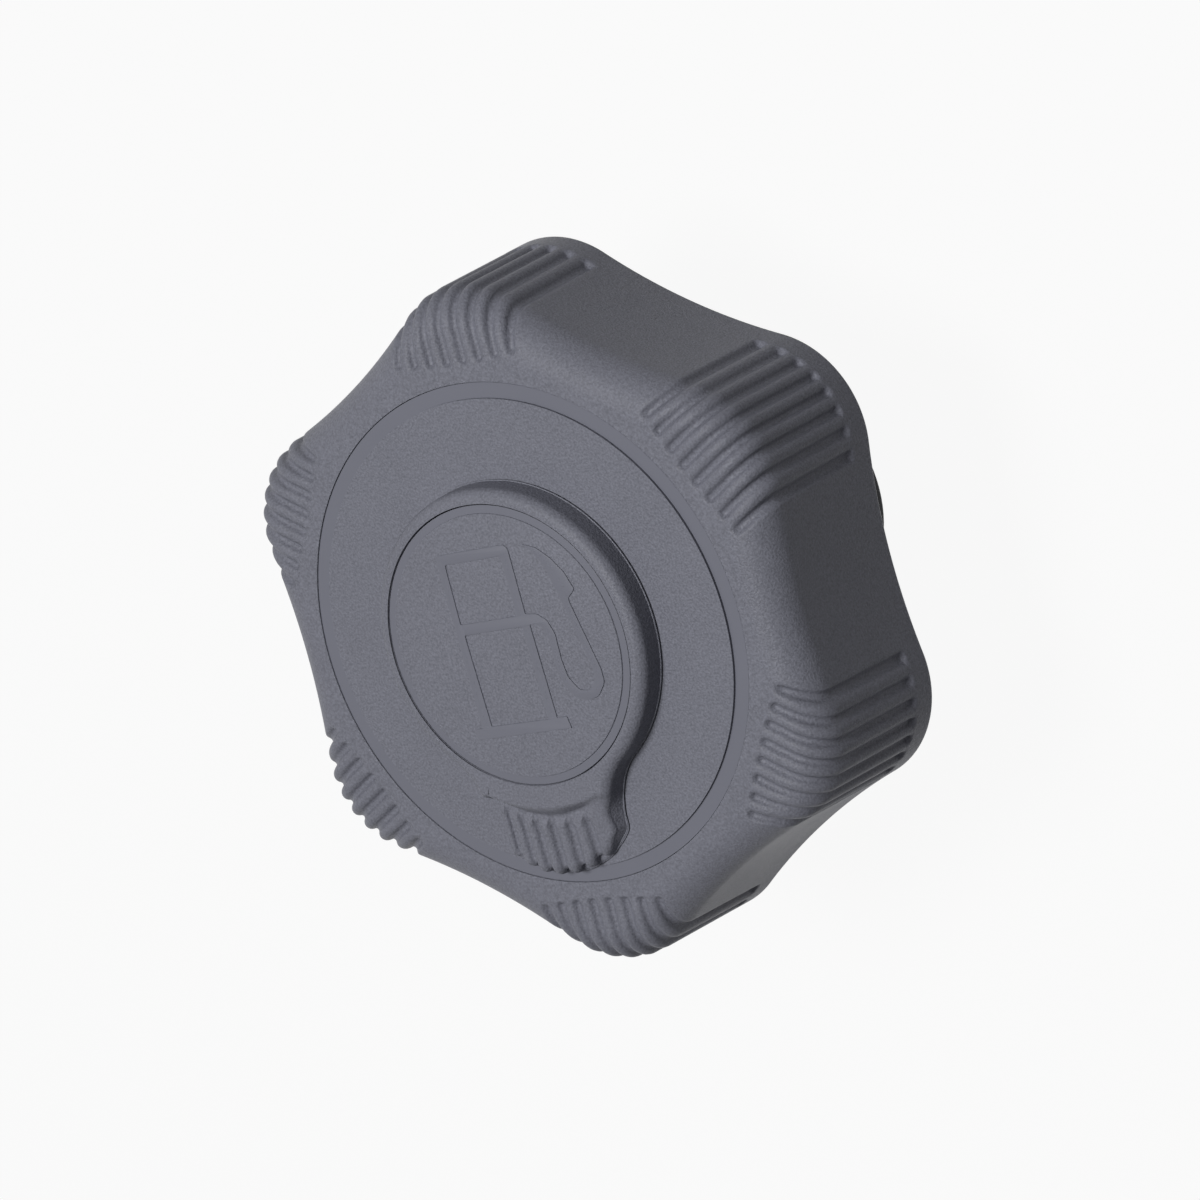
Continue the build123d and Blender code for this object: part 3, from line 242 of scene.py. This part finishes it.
def length_to(wanted):
    """Length of each column's line up to a wanted distance outside the outline, straight between
    the two samples around it; one row for each wanted distance."""
    after = (line_out[:, :, None] < wanted).sum(1)
    low = np.take_along_axis(line_out, after - 1, 1)
    high = np.take_along_axis(line_out, after, 1)
    slope = (reach[after] - reach[after - 1]) / (high - low)
    return (slope * (wanted - low) + reach[after - 1]).T


# Rows from the pocket's rim outward: the flat front, the shoulder's arc, the drafted wall and
# the rounded back edge
flat_out = SHOULDER_R * ((1 - np.sin(DRAFT)) * np.tan(DRAFT) - np.cos(DRAFT))
front_share = np.linspace(0, 1, 34)
shoulder_turn = np.linspace(np.pi / 2, DRAFT, 24)[1:]
wall_z = np.concatenate([
    np.linspace(SHOULDER_R * (np.sin(DRAFT) - 1), -23.2, 8)[1:],
    np.linspace(-23.2, -26.6, 15)[1:],
    [-28.8, -30.0],
])
back_out = GRIP_HEIGHT * np.tan(DRAFT)
back_turn = np.linspace(DRAFT, -np.pi / 2, 6)[1:]
row_out = np.concatenate([
    flat_out + SHOULDER_R * np.cos(shoulder_turn),
    -wall_z * np.tan(DRAFT),
    back_out - BACK_EDGE_R + BACK_EDGE_R * np.cos(back_turn),
    [back_out - BACK_EDGE_WIDTH],
])
row_z = np.concatenate([
    np.zeros(len(front_share)),
    SHOULDER_R * (np.sin(shoulder_turn) - 1),
    wall_z,
    BACK_EDGE_R - GRIP_HEIGHT + BACK_EDGE_R * np.sin(back_turn),
    [-GRIP_HEIGHT],
])[:, None]
tilt = np.concatenate([
    np.full(len(front_share), np.pi / 2),
    shoulder_turn,
    np.full(len(wall_z), DRAFT),
    back_turn,
    [-np.pi / 2],
])[:, None]
length = np.concatenate([front_share[:, None] * length_to([flat_out]), length_to(row_out)])
xy = start + way * length[..., None]
plan_x, plan_y = outward(xy[..., 0], xy[..., 1])[1:]

# The flutes sink the grid along its normal. They begin on a slightly bowed line and end in a
# round bottom above the back edge.
outermost = flute_at[-1]
start_line = FLUTE_START + FLUTE_START_BOW * (np.clip(offset, -14, 14) / outermost) ** 2
from_flute = np.abs(offset[:, None] - flute_at[None, :]).min(1)
before_start = np.where(row_z > -1, np.maximum(start_line - xy[..., 0], 0), 0)
past_end = before_start + np.maximum(0.0, -row_z - FLUTE_LENGTH_DOWN)
flute_radii = FLUTE_BOTTOM_R, FLUTE_TOP_R, FLUTE_OUTER_R
between, beside, _ = groove(from_flute, *flute_radii)
closing = groove(np.hypot(from_flute, past_end), *flute_radii)[1]
depth = np.where(np.abs(offset) > outermost, beside, between)
depth = depth + (closing - depth) * soft_step(0, 1.3, past_end)
depth = np.where(tilt < 0, 0, depth)
grid = plan_x.shape
rise = np.broadcast_to(np.sin(tilt), grid)
normal = np.stack([plan_x * np.cos(tilt), plan_y * np.cos(tilt), rise], -1)
plain = np.concatenate([xy, np.broadcast_to(row_z[..., None], (*grid, 1))], -1)
sector = plain - normal * depth[..., None]
rim = [
    np.column_stack([start * (r / POCKET_R), np.full(len(start), z)])
    for r, z in ((41.98, -3.0), (41.98, -0.07), (42.0, -0.02))
]
sector = np.concatenate([rim, sector])
lobes = []
for k in range(6):
    c, s = np.cos(np.pi / 2 + k * np.pi / 3), np.sin(np.pi / 2 + k * np.pi / 3)
    x, y, z = sector[..., 0], sector[..., 1], sector[..., 2]
    lobes.append(np.stack([x * c - y * s, x * s + y * c, z + FACE], -1))
skin = np.concatenate(lobes, 1)
piece("grip_skin", skin.reshape(-1, 3), ring_faces(*skin.shape[:2])[:, ::-1], "knob",
      node="grip_knob", looks=[grained_plastic])
coat(grained_plastic, "grip_knob")


# Inside of the grip: the same moulding seen from the back, with the lock's hub, the bearing,
# ribs and screw bosses. The mould's polished core leaves it smooth.
smooth_plastic = finish("smooth_plastic", (0.126, 0.129, 0.155), 0.42, grain=0.05, grain_size=1.2,
                        mottle=0.03, gloss=0.2)


def mesh_points(mesh):
    """Points of a mesh in mm, one row each."""
    points = np.empty(len(mesh.vertices) * 3)
    mesh.vertices.foreach_get("co", points)
    return points.reshape(-1, 3) * 1000


def merged_copy(node, keep=None):
    """Points in mm and triangles of a CAD node with its loose triangles joined. Keep picks faces
    by their centre, the mean of the corners, and their normal, the cross product of two sides."""
    mesh = nodes[node].data.copy()
    join_points(mesh, 2e-6)
    points = mesh_points(mesh)
    faces = np.empty(len(mesh.loops), np.int32)
    mesh.loops.foreach_get("vertex_index", faces)
    faces = faces.reshape(-1, 3)
    bpy.data.meshes.remove(mesh)
    if keep:
        corners = points[faces]
        normal = np.cross(corners[:, 1] - corners[:, 0], corners[:, 2] - corners[:, 0])
        normal /= np.maximum(np.linalg.norm(normal, axis=1, keepdims=True), 1e-12)
        faces = faces[keep(corners.mean(1), normal)]
    used, faces = np.unique(faces, return_inverse=True)
    return points[used], faces.reshape(-1, 3)


def inside_grip(centre, normal):
    """Faces of the hub and pocket, and those more than half a wall behind the drafted outer wall;
    the front's shoulder and the back edge belong to the skin."""
    below = FACE - centre[:, 2]
    behind = below * np.tan(DRAFT) - outward(centre[:, 1], -centre[:, 0])[0]
    back_edge = (below > 30.95) & (normal[:, 2] < -0.9)
    shoulder = (below < 5) & (normal[:, 2] > 0.05)
    hub = np.hypot(centre[:, 0], centre[:, 1]) < POCKET_R
    return hub | ((behind > 1.5) & (below > 2.4) & ~back_edge & ~shoulder)


piece("grip_inside", *merged_copy("grip_knob", inside_grip), "knob", node="grip_knob",
      looks=[smooth_plastic], sharp=30)

# Face plate: moulded disc snapped into the grip's front. A grained disc stands a little proud
# inside a smooth band, and the keyhole window, pivot hole and stop groove go through it.
PLATE_R, PLATE_DISC_R = 41.9, 39.37
BAND_DROP, DISC_RISE = 0.22, 0.28
CAD_BAND_Z, CAD_DISC_Z = 73.05, 73.9
points, faces = merged_copy("face_plate")
radius = np.hypot(points[:, 0], points[:, 1])
same = 0.02
band = (np.abs(points[:, 2] - CAD_BAND_Z) < same) & (radius > 39.3)
disc = np.abs(points[:, 2] - CAD_DISC_Z) < same
points[band, 2] = FACE - BAND_DROP
points[disc, 2] = FACE + DISC_RISE
points[np.abs(radius - radius.max()) < same, :2] *= PLATE_R / radius.max()
centre = points[faces].mean(1)
on_band = np.hypot(centre[:, 0], centre[:, 1]) > PLATE_DISC_R
piece("face_disc", points, faces, "knob", node="face_plate",
      looks=[grained_plastic, smooth_plastic], sharp=30, index=on_band)
coat(grained_plastic, "face_plate")

# Key cover: moulded lid in the grip's plastic that swings on a headed pin, with a round head
# and a thumb tab. The tab steps down from the head's rim, leans over to one side and is cut by
# six pointed grooves that run out between its noses.
HEAD_R, COVER_DRAFT = 25.85, np.tan(np.radians(3))
RIM, FOOT = 5.56, 0.57  # heights over the front plane
TAB_LEFT, TAB_RIGHT = -13.9, 10.4
ROOT_R = 13.0
BADGE_HOLE_R = 23.49
EDGE_R = 1.9
THUMB_BOTTOM_R, THUMB_TOP_R, THUMB_OUTER_R = 0.72, 1.15, 0.5


def arc(cx, cy, r, first, last, count):
    """Points of an arc, evenly spaced in angle from the direction of one point to another's."""
    a = np.arctan2(first[1] - cy, first[0] - cx)
    b = np.arctan2(last[1] - cy, last[0] - cx)
    b += 2 * np.pi * np.round((a - b) / (2 * np.pi))
    t = np.linspace(a, b, count)
    return np.stack([cx + r * np.cos(t), cy + r * np.sin(t)], -1)


# The tab's outline: a wide arc at each root that touches the head, a small one at each corner
# and a bowed end
root_at = HEAD_R + ROOT_R
right_root = np.array([23.4, -np.sqrt(root_at**2 - 23.4**2)])
left_root = np.array([-26.9, -np.sqrt(root_at**2 - 26.9**2)])
end_centre, end_r = np.array([-3.0, -22.5]), 17.2
left_r, right_r = 1.6, 2.6
right_corner = np.array([7.8, -22.5 - np.sqrt(14.6**2 - 10.8**2)])
left_corner = np.array([-12.3, -22.5 - np.sqrt(15.6**2 - 9.3**2)])
end_left = end_centre + (left_corner - end_centre) * end_r / 15.6
end_right = end_centre + (right_corner - end_centre) * end_r / 14.6
outline = np.concatenate([
    arc(*left_root, ROOT_R, left_root * HEAD_R / root_at, (TAB_LEFT, left_root[1]), 60),
    arc(*left_corner, left_r, (TAB_LEFT, left_corner[1]), end_left, 20),
    arc(*end_centre, end_r, end_left, end_right, 160)[1:-1],
    arc(*right_corner, right_r, end_right, (TAB_RIGHT, right_corner[1]), 20),
    arc(*right_root, ROOT_R, (TAB_RIGHT, right_root[1]), right_root * HEAD_R / root_at, 60),
])
edge_angle = np.arctan2(outline[:, 1], outline[:, 0])
tab_angle = np.linspace(edge_angle[0], edge_angle[-1], 330)
tab = np.stack([np.interp(tab_angle, edge_angle, outline[:, i]) for i in (0, 1)], -1)
head_angle = np.linspace(edge_angle[-1], edge_angle[0] + 2 * np.pi, 150)[1:-1]
edge = np.concatenate([tab, HEAD_R * np.stack([np.cos(head_angle), np.sin(head_angle)], -1)])
along = np.roll(edge, -1, 0) - np.roll(edge, 1, 0)
along /= np.linalg.norm(along, axis=1, keepdims=True)
out = np.stack([along[:, 1], -along[:, 0]], -1)
for _ in range(3):
    out = (np.roll(out, 1, 0) + out * 2 + np.roll(out, -1, 0)) / 4
out /= np.linalg.norm(out, axis=1, keepdims=True)

crown = np.polyfit([TAB_LEFT, -12.3, -10.6, -7.6, -4.5, -1.1, 2.4, 5.85, 9.5],
                   [1.7, 2.2, 2.8, 3.5, 3.75, 3.85, 3.75, 3.5, 3.2], 4)
thumb_groove_x = np.array([-11.7, -8.6, -5.5, -2.35, 1.2, 4.9])


def cover_height(x, y):
    """Height of the cover's top over the front plane, without its grooves: the rim's height, which
    a soft step takes down to the tab's crown, a curve across it that rises a little toward the
    head. A shallow gutter, a bell curve of the radius, runs along the step's foot."""
    radius = np.hypot(x, y)
    toward_head = (34 - radius) * (0.05 + 0.22 * soft_step(2, 9, x))
    pad = np.polyval(crown, np.clip(x, TAB_LEFT, TAB_RIGHT)) + toward_head
    step_foot = np.interp(x, [-12, 0, 8], [29.3, 29.5, 28.6])
    gutter = 0.55 * np.exp(-(((radius - step_foot) / 0.8) ** 2)) * soft_step(8, 5, x)
    return RIM + (np.minimum(pad, RIM) - RIM - gutter) * soft_step(27.1, step_foot - 0.3, radius)


def cover_groove(x, y, z):
    """Depth of the thumb grooves: the round groove at the distance from the nearest one, measured
    in pitches and sunk by what its run-in leaves, so that it begins in a point; a lip above the
    foot closes it."""
    place = x - 0.03 * (y + 29)
    listed = np.r_[thumb_groove_x[0] - PITCH, thumb_groove_x, thumb_groove_x[-1] + PITCH]
    count = np.interp(place, listed, np.arange(-1, 7))
    gap = np.abs(count - np.clip(np.round(count), 0, 5)) * PITCH
    bead, _, full = groove(gap, THUMB_BOTTOM_R, THUMB_TOP_R, THUMB_OUTER_R)
    run_in = soft_step(28.6, 31.8, np.hypot(x, y))
    lip = soft_step(FOOT + 0.2, FOOT + 0.8, z)
    return np.where(y < 0, np.maximum(bead - full * (1 - run_in), 0) * lip, 0) * 1.15


# Rows from the badge's hole outward: the hole's wall, the top, the rounded edge and the wall,
# which leans more at the tab's right side
lean = 0.33 * soft_step(-26, -30, edge[:, 1]) * soft_step(6, 9.5, edge[:, 0])
edge = edge - out * (3 * lean)[:, None]
edge_height = cover_height(*(edge - EDGE_R * out).T)
fillet = np.clip(0.85 * (edge_height - FOOT), 0.3, EDGE_R - 2.5 * lean)
inner = edge - fillet[:, None] * out
hole = BADGE_HOLE_R * edge / np.linalg.norm(edge, axis=1, keepdims=True)
cover_rows = [np.column_stack([hole, np.full(len(hole), z)]) for z in (3.9, RIM - 0.12)]
cover_rows.append(np.column_stack([hole * 1.004, np.full(len(hole), RIM)]))
for t in np.linspace(0.01, 1, 84):
    xy = hole + (inner - hole) * t
    z = cover_height(*xy.T)
    cover_rows.append(np.column_stack([xy, z - cover_groove(xy[:, 0], xy[:, 1], z)]))
inner_height = cover_height(*inner.T)
wall_turn = np.radians(3)
for t in np.linspace(np.pi / 2, wall_turn, 14)[1:]:
    xy = inner + out * (fillet * np.cos(t))[:, None]
    z = inner_height - fillet * (1 - np.sin(t))
    depth = cover_groove(xy[:, 0], xy[:, 1], z)
    xy = xy - out * (depth * np.cos(t))[:, None]
    cover_rows.append(np.column_stack([xy, z - depth * np.sin(t)]))
wall_high = inner_height - fillet * (1 - np.sin(wall_turn))
wall_rows = [(t, 0) for t in np.linspace(0, 0.93, 15)[1:]] + [(0.945, 0.13), (1, 0.15)]
for t, lip_out in wall_rows:
    z = wall_high + (FOOT - wall_high) * t
    wall_out = fillet * np.cos(wall_turn) + (wall_high - z) * (COVER_DRAFT + lean) + lip_out
    xy = inner + out * wall_out[:, None]
    depth = cover_groove(xy[:, 0], xy[:, 1], z)
    cover_rows.append(np.column_stack([xy - out * depth[:, None], z]))
cover_rows.append(np.column_stack([cover_rows[-1][:, :2] - out * 2.4, np.full(len(edge), FOOT)]))
cover = np.array(cover_rows) + [0, 0, FACE]
piece("cover_skin", cover.reshape(-1, 3), ring_faces(*cover.shape[:2])[:, ::-1], "key_cover",
      node="key_cover", looks=[grained_plastic], sharp=45)
coat(grained_plastic, "key_cover")


# Underside of the key cover: the same moulding's hollow with the pivot boss, the seal's groove
# and the stop pin, smooth from the mould's core. Its ceiling in the tab lies under the grooves.
def under_cover(centre, normal):
    """Faces of the head's middle below the badge, and those of the low hollow that look inward
    or down."""
    inward = (normal[:, :2] * centre[:, :2]).sum(1) < 0
    middle = (np.hypot(centre[:, 0], centre[:, 1]) < 23.6) & (centre[:, 2] < FACE + 3.95)
    looks_in = inward & (np.abs(normal[:, 2]) < 0.5) | (normal[:, 2] < -0.5)
    return middle | ((centre[:, 2] < FACE + 2.3) & looks_in)


points, faces = merged_copy("key_cover", under_cover)
tab_ceiling = (points[:, 2] > FACE + 2) & (np.hypot(points[:, 0], points[:, 1]) > 26.5)
points[tab_ceiling, 2] = FACE + 0.95
piece("cover_underside", points, faces, "key_cover", node="key_cover", looks=[smooth_plastic],
      sharp=30)

# Badge: round moulded insert pressed into the cover. Its grained ground stands over a smooth
# band and carries the outline of a fuel pump, a common sign, as a smooth raised line.
GROUND, SIGN, BAND = 5.62, 5.84, 5.36
BADGE_STEPS = 256


def turned(profile, steps):
    """Points and quads of a profile of (radius, height) turned about the cap's axis."""
    angle = np.linspace(0, 2 * np.pi, steps, endpoint=False)
    r, z = profile[:, :1], np.repeat(profile[:, 1:], steps, 1)
    points = np.stack([r * np.cos(angle), r * np.sin(angle), z], -1)
    return points.reshape(-1, 3), ring_faces(len(profile), steps)


def rounded(profile, radius, steps=5):
    """Open line of points with its inner corners rounded: an arc about a centre on the corner's
    bisector, radius / sin(half the angle) away, takes each corner's place."""
    profile = np.asarray(profile, float)
    line = [profile[0]]
    for before, corner, after, r in zip(profile[:-2], profile[1:-1], profile[2:], radius[1:-1]):
        if r == 0:
            line.append(corner)
            continue
        a, b = before - corner, after - corner
        a, b = a / np.linalg.norm(a), b / np.linalg.norm(b)
        half = np.arccos(np.clip(a @ b, -1, 1)) / 2
        cut = r / np.tan(half)
        centre = corner + (a + b) / np.linalg.norm(a + b) * r / np.sin(half)
        first, last = corner + a * cut - centre, corner + b * cut - centre
        for t in np.linspace(0, 1, steps):
            spoke = first * (1 - t) + last * t
            line.append(centre + spoke / np.linalg.norm(spoke) * r)
    line.append(profile[-1])
    return np.array(line)


profile = rounded([(0.0, GROUND), (21.98, GROUND), (22.05, BAND), (23.37, BAND), (23.37, 3.9)],
                  [0, 0.08, 0.06, 0.1, 0])
points, faces = turned(profile + [0, FACE], BADGE_STEPS)
on_band = profile[faces[:, 0] // BADGE_STEPS, 0] > 22.0
piece("badge", points, faces[:, ::-1], "key_cover", node="cover_badge",
      looks=[grained_plastic, smooth_plastic], sharp=40, index=on_band)
coat(grained_plastic, "cover_badge")

# Pump sign: raised line moulded on the badge. One closed outline draws the pump's body, foot,
# hose and nozzle, and two more cut its upper and lower windows; corners hold (x, y, rounding).
pump = np.array([
    (-9.3, 8.0, 0), (-9.35, 15.95, 0.3), (5.36, 16.55, 1.1), (5.4, 4.95, 0.25), (7.6, 4.75, 1.5),
    (9.3, 3.6, 1.5), (10.2, 1.2, 2.0), (10.1, -2.98, 3.0), (10.5, -6.1, 1.8), (12.1, -8.3, 1.3),
    (14.3, -8.5, 1.3), (15.9, -6.6, 1.8), (15.75, -4.2, 3.0), (13.69, 4.63, 6.0), (12.43, 9.41, 6.0),
    (11.65, 12.35, 3.0), (10.2, 14.8, 4.0), (8.2, 16.3, 0.06), (10.88, 15.45, 3.0), (13.3, 13.4, 3.0),
    (15.15, 10.95, 3.0), (16.25, 8.09, 0.35), (14.68, 6.8, 0.5), (14.68, 6.0, 0.3), (17.3, -5.03, 1.8),
    (17.35, -7.4, 1.8), (15.6, -9.5, 2.2), (13.4, -10.15, 2.2), (11.2, -9.5, 2.2), (9.4, -7.3, 2.2),
    (8.72, -3.9, 3.0), (8.81, 0.38, 3.0), (8.2, 2.5, 1.2), (6.9, 3.15, 1.0), (5.72, 3.15, 0.2),
    (6.15, -12.45, 0.12), (8.12, -12.45, 0.12), (8.5, -14.35, 0.12), (-10.75, -14.95, 0.12),
    (-10.75, -13.15, 0.12), (-9.2, -13.15, 0.12), (-9.3, 8.0, 0),
])
upper_window = np.array([
    (-8.0, 9.0, 0), (-7.95, 14.35, 0.5), (3.6, 14.75, 0.5), (3.75, 4.75, 0.15),
    (-8.05, 4.25, 0.3), (-8.0, 9.0, 0),
])
lower_window = np.array([
    (-7.6, -5.0, 0), (-7.8, 2.55, 0.4), (4.2, 2.95, 0.4), (4.5, -12.6, 0.15),
    (-7.35, -12.95, 0.15), (-7.6, -5.0, 0),
])
sign = bpy.data.curves.new("sign_outline", "CURVE")
sign.dimensions = "2D"
sign.fill_mode = "BOTH"
for corners in (pump, upper_window, lower_window):
    line = rounded(corners[:, :2], corners[:, 2], 6)[:-1] * 0.001
    spline = sign.splines.new("POLY")
    spline.points.add(len(line) - 1)
    points = np.column_stack([line, np.zeros(len(line)), np.ones(len(line))])
    spline.points.foreach_set("co", points.ravel())
    spline.use_cyclic_u = True
sign.extrude = 0.0002
sign.bevel_depth = 0.00006
sign.bevel_resolution = 1
sign.offset = -0.00003
holder = bpy.data.objects.new("sign_holder", sign)
bpy.context.scene.collection.objects.link(holder)
bpy.context.view_layer.update()
flat = bpy.data.meshes.new_from_object(holder.evaluated_get(bpy.context.evaluated_depsgraph_get()))
bpy.data.objects.remove(holder)
half_thick = 0.26  # the extrusion and its bevel, in mm
points = mesh_points(flat) + [0, 0, FACE + SIGN - half_thick]
faces = [list(p.vertices) for p in flat.polygons]
piece("pump_sign", points, faces, "key_cover", looks=[smooth_plastic], sharp=40)

# Plug and its carriers: black injection mouldings. The plug enters the filler neck; the ring
# under the collar is screwed to the grip, the bolt's guide to its hub, and the slotted disc is
# pressed into the plug's end.
black_plastic = finish("plug_plastic", (0.030, 0.030, 0.033), 0.5, grain=0.25, grain_size=0.5,
                       mottle=0.1, speckle=0.05, gloss=0.15)
coat(black_plastic, "bayonet_plug", "bolt_guide", "end_retainer", "retaining_ring")

# Valve and sliding parts: turned or moulded in natural acetal, which slides without grease.
# The vent's filter is a disc of sintered plastic grains dropped into the cartridge.
acetal = finish("valve_acetal", (0.74, 0.73, 0.69), 0.38, grain=0.1, grain_size=0.8, mottle=0.03)
coat(acetal, "thrust_ring", "valve_housing", "pressure_disc", "vacuum_poppet", "friction_washer")
sintered = finish("sintered_plastic", (0.55, 0.5, 0.4), 0.85, grain=1.0, grain_size=0.45,
                  mottle=0.1, speckle=0.3)
coat(sintered, "filter_disc")

# Seals: matt black fuel-proof rubber rings, moulded or cut from sheet, which sit in grooves
# and seats without glue.
rubber = finish("seal_rubber", (0.016, 0.016, 0.017), 0.75, grain=0.4, grain_size=0.25, mottle=0.15,
                speckle=0.1, gloss=0.25)
coat(rubber, "neck_gasket", "housing_oring", "barrel_seal", "keyhole_seal", "pressure_seal",
     "vacuum_seal")

# Springs and clips: bright spring steel, coiled or stamped. Each valve spring sits between a fixed and
# a moving part; its coil is copied from the CAD node and rides on one body.
spring_steel = finish("spring_steel", (0.55, 0.55, 0.56), 0.28, grain=0.15, grain_size=0.2,
                      metallic=1.0, brushed=(1, 1, 0.1))
coat(spring_steel, "pressure_spring", "vacuum_spring", "barrel_clip", "pin_clip", "stem_clip")
for name, body, joint, fixed_end, length, travel in (
    ("pressure_spring", "closure", "pressure_lift", 27.0, 13.7, 2.532),
    ("vacuum_spring", "pressure_valve", "vacuum_drop", 16.0, 4.6, 1.626),
):
    coil = piece(f"{name}_coil", *merged_copy(name), body, node=name, slot="spring_steel",
                 looks=[spring_steel])
    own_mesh(coil)

# Screws and pivot pin: zinc-plated steel, cold-headed. They fix the ring, the bolt's guide and
# the cam, and carry the key cover.
zinc_steel = finish("zinc_steel", (0.6, 0.6, 0.57), 0.34, grain=0.15, grain_size=0.3, metallic=1.0,
                    mottle=0.1, cloud_size=2.0)
coat(zinc_steel, "ring_screws", "guide_screws", "cam_screw", "pivot_pin")

# Lock: barrel, core, cam and bolt are zinc die castings with a bright plated skin. The wafers
# are stamped from brass sheet and slide in the core's slots.
plated_zinc = finish("plated_zinc", (0.62, 0.62, 0.64), 0.26, grain=0.2, grain_size=0.4,
                     metallic=1.0, brushed=(1, 0.05, 1))
coat(plated_zinc, "lock_barrel", "lock_core", "lock_cam", "lock_bolt")
brass = finish("stamped_brass", (0.76, 0.58, 0.27), 0.3, grain=0.2, grain_size=0.3, metallic=1.0,
               brushed=(0.05, 1, 1))
coat(brass, "lock_wafers")

# Camera: stands where the photograph was taken from, about 0.9 m away, and is rolled as the
# cap lies in the picture. A long lens keeps the lobes nearly parallel.
camera = bpy.data.objects.new("camera", bpy.data.cameras.new("camera"))
bpy.context.scene.collection.objects.link(camera)
camera.matrix_world = Matrix((
    (0.786412, 0.087144, 0.611524, 0.532244),
    (-0.254433, 0.947813, 0.19213, 0.166587),
    (-0.562867, -0.306686, 0.767544, 0.721263),
    (0, 0, 0, 1),
))
camera.data.sensor_width = 36.0
camera.data.lens = 160.741
camera.data.clip_start = 0.05
camera.data.clip_end = 20.0
bpy.context.scene.camera = camera

# Floor: plain pale sheet the cap stands on. To the eye, and in gloss, it is nearly white and
# keeps a faint shadow of the cap; seen from below it is clear, so that the plug shows.
FLOOR_SIZE, FLOOR_Z = 3, -0.0003
floor_mesh = bpy.data.meshes.new("floor")
corner = np.array([(-1, -1), (1, -1), (1, 1), (-1, 1)]) * FLOOR_SIZE
floor_mesh.from_pydata([(x, y, FLOOR_Z) for x, y in corner.tolist()], [], [(0, 1, 2, 3)])
floor = bpy.data.objects.new("floor", floor_mesh)
bpy.context.scene.collection.objects.link(floor)
pale = finish("pale_floor", (0.3, 0.3, 0.3), 0.6, mottle=0.01)
floor.data.materials.append(pale)


def white_to_eyes(tree, share):
    """Share by which a surface or the world is plain white: the greatest of camera, glossy and
    transmission ray, times share."""
    seen = tree.nodes.new("ShaderNodeLightPath")
    total = seen.outputs["Is Camera Ray"]
    for kind in ("Is Glossy Ray", "Is Transmission Ray"):
        total = combined(tree, "MAXIMUM", total, seen.outputs[kind])
    scaled = tree.nodes.new("ShaderNodeMath")
    scaled.operation = "MULTIPLY"
    scaled.inputs[1].default_value = share
    tree.links.new(total, scaled.inputs[0])
    return scaled.outputs["Value"]


def combined(tree, operation, first, second):
    """Output of a Math node that joins two outputs."""
    node = tree.nodes.new("ShaderNodeMath")
    node.operation = operation
    tree.links.new(first, node.inputs[0])
    tree.links.new(second, node.inputs[1])
    return node.outputs["Value"]


def mixed(tree, share, first, second):
    """Output of a Mix Shader node: the second shader by the share, the first by the rest."""
    node = tree.nodes.new("ShaderNodeMixShader")
    tree.links.new(share, node.inputs["Fac"])
    tree.links.new(first, node.inputs[1])
    tree.links.new(second, node.inputs[2])
    return node.outputs["Shader"]


tree = pale.node_tree
glow = tree.nodes.new("ShaderNodeEmission")
shown = mixed(tree, white_to_eyes(tree, 0.93), tree.nodes["Principled BSDF"].outputs["BSDF"],
              glow.outputs["Emission"])
from_below = tree.nodes.new("ShaderNodeNewGeometry").outputs["Backfacing"]
shadow = tree.nodes.new("ShaderNodeLightPath").outputs["Is Shadow Ray"]
clear = tree.nodes.new("ShaderNodeBsdfTransparent")
shown = mixed(tree, combined(tree, "MAXIMUM", from_below, shadow), shown, clear.outputs["BSDF"])
tree.links.new(shown, tree.nodes["Material Output"].inputs["Surface"])

# Surround: a white studio, to the eye and in gloss. To all else it is a weak even light, so that
# the lamps alone shape the cap.
world = bpy.data.worlds.new("studio")
bpy.context.scene.world = world
world.use_nodes = True
tree = world.node_tree
sky = tree.nodes["Background"]
sky.inputs["Color"].default_value = (1, 1, 1, 1)
sky.inputs["Strength"].default_value = 0.04
white = tree.nodes.new("ShaderNodeBackground")
white.inputs["Color"].default_value = (1, 1, 1, 1)
shown = mixed(tree, white_to_eyes(tree, 1.0), sky.outputs["Background"],
              white.outputs["Background"])
tree.links.new(shown, tree.nodes["World Output"].inputs["Surface"])


# Lamps: square soft boxes. The key light stands left of the camera, near the cap's own axis, so
# that the right walls stay dark; a weak one lights the low side and one the back.
def softbox(name, x, y, z, size, power):
    """Square area light aimed at the cap, at a place in the camera's frame: right, up, towards it."""
    lamp = bpy.data.lights.new(name, "AREA")
    lamp.size = size
    lamp.energy = power
    obj = bpy.data.objects.new(name, lamp)
    bpy.context.scene.collection.objects.link(obj)
    centre = Matrix.Translation((0, 0, 0.06))
    place = centre @ camera.matrix_world.to_3x3().to_4x4() @ Matrix.Translation((x, y, z))
    obj.location = place.translation
    direction = centre.translation - obj.location
    obj.rotation_mode = "QUATERNION"
    obj.rotation_quaternion = direction.to_track_quat("-Z", "Y")


softbox("key", -0.64, -0.06, 0.9, 0.35, 13.8)
softbox("low", -0.1, -1.0, 0.35, 0.5, 0.2)
softbox("back", 0.5, 0.3, -1.3, 0.6, 3.5)

bpy.context.scene.view_settings.view_transform = "Standard"
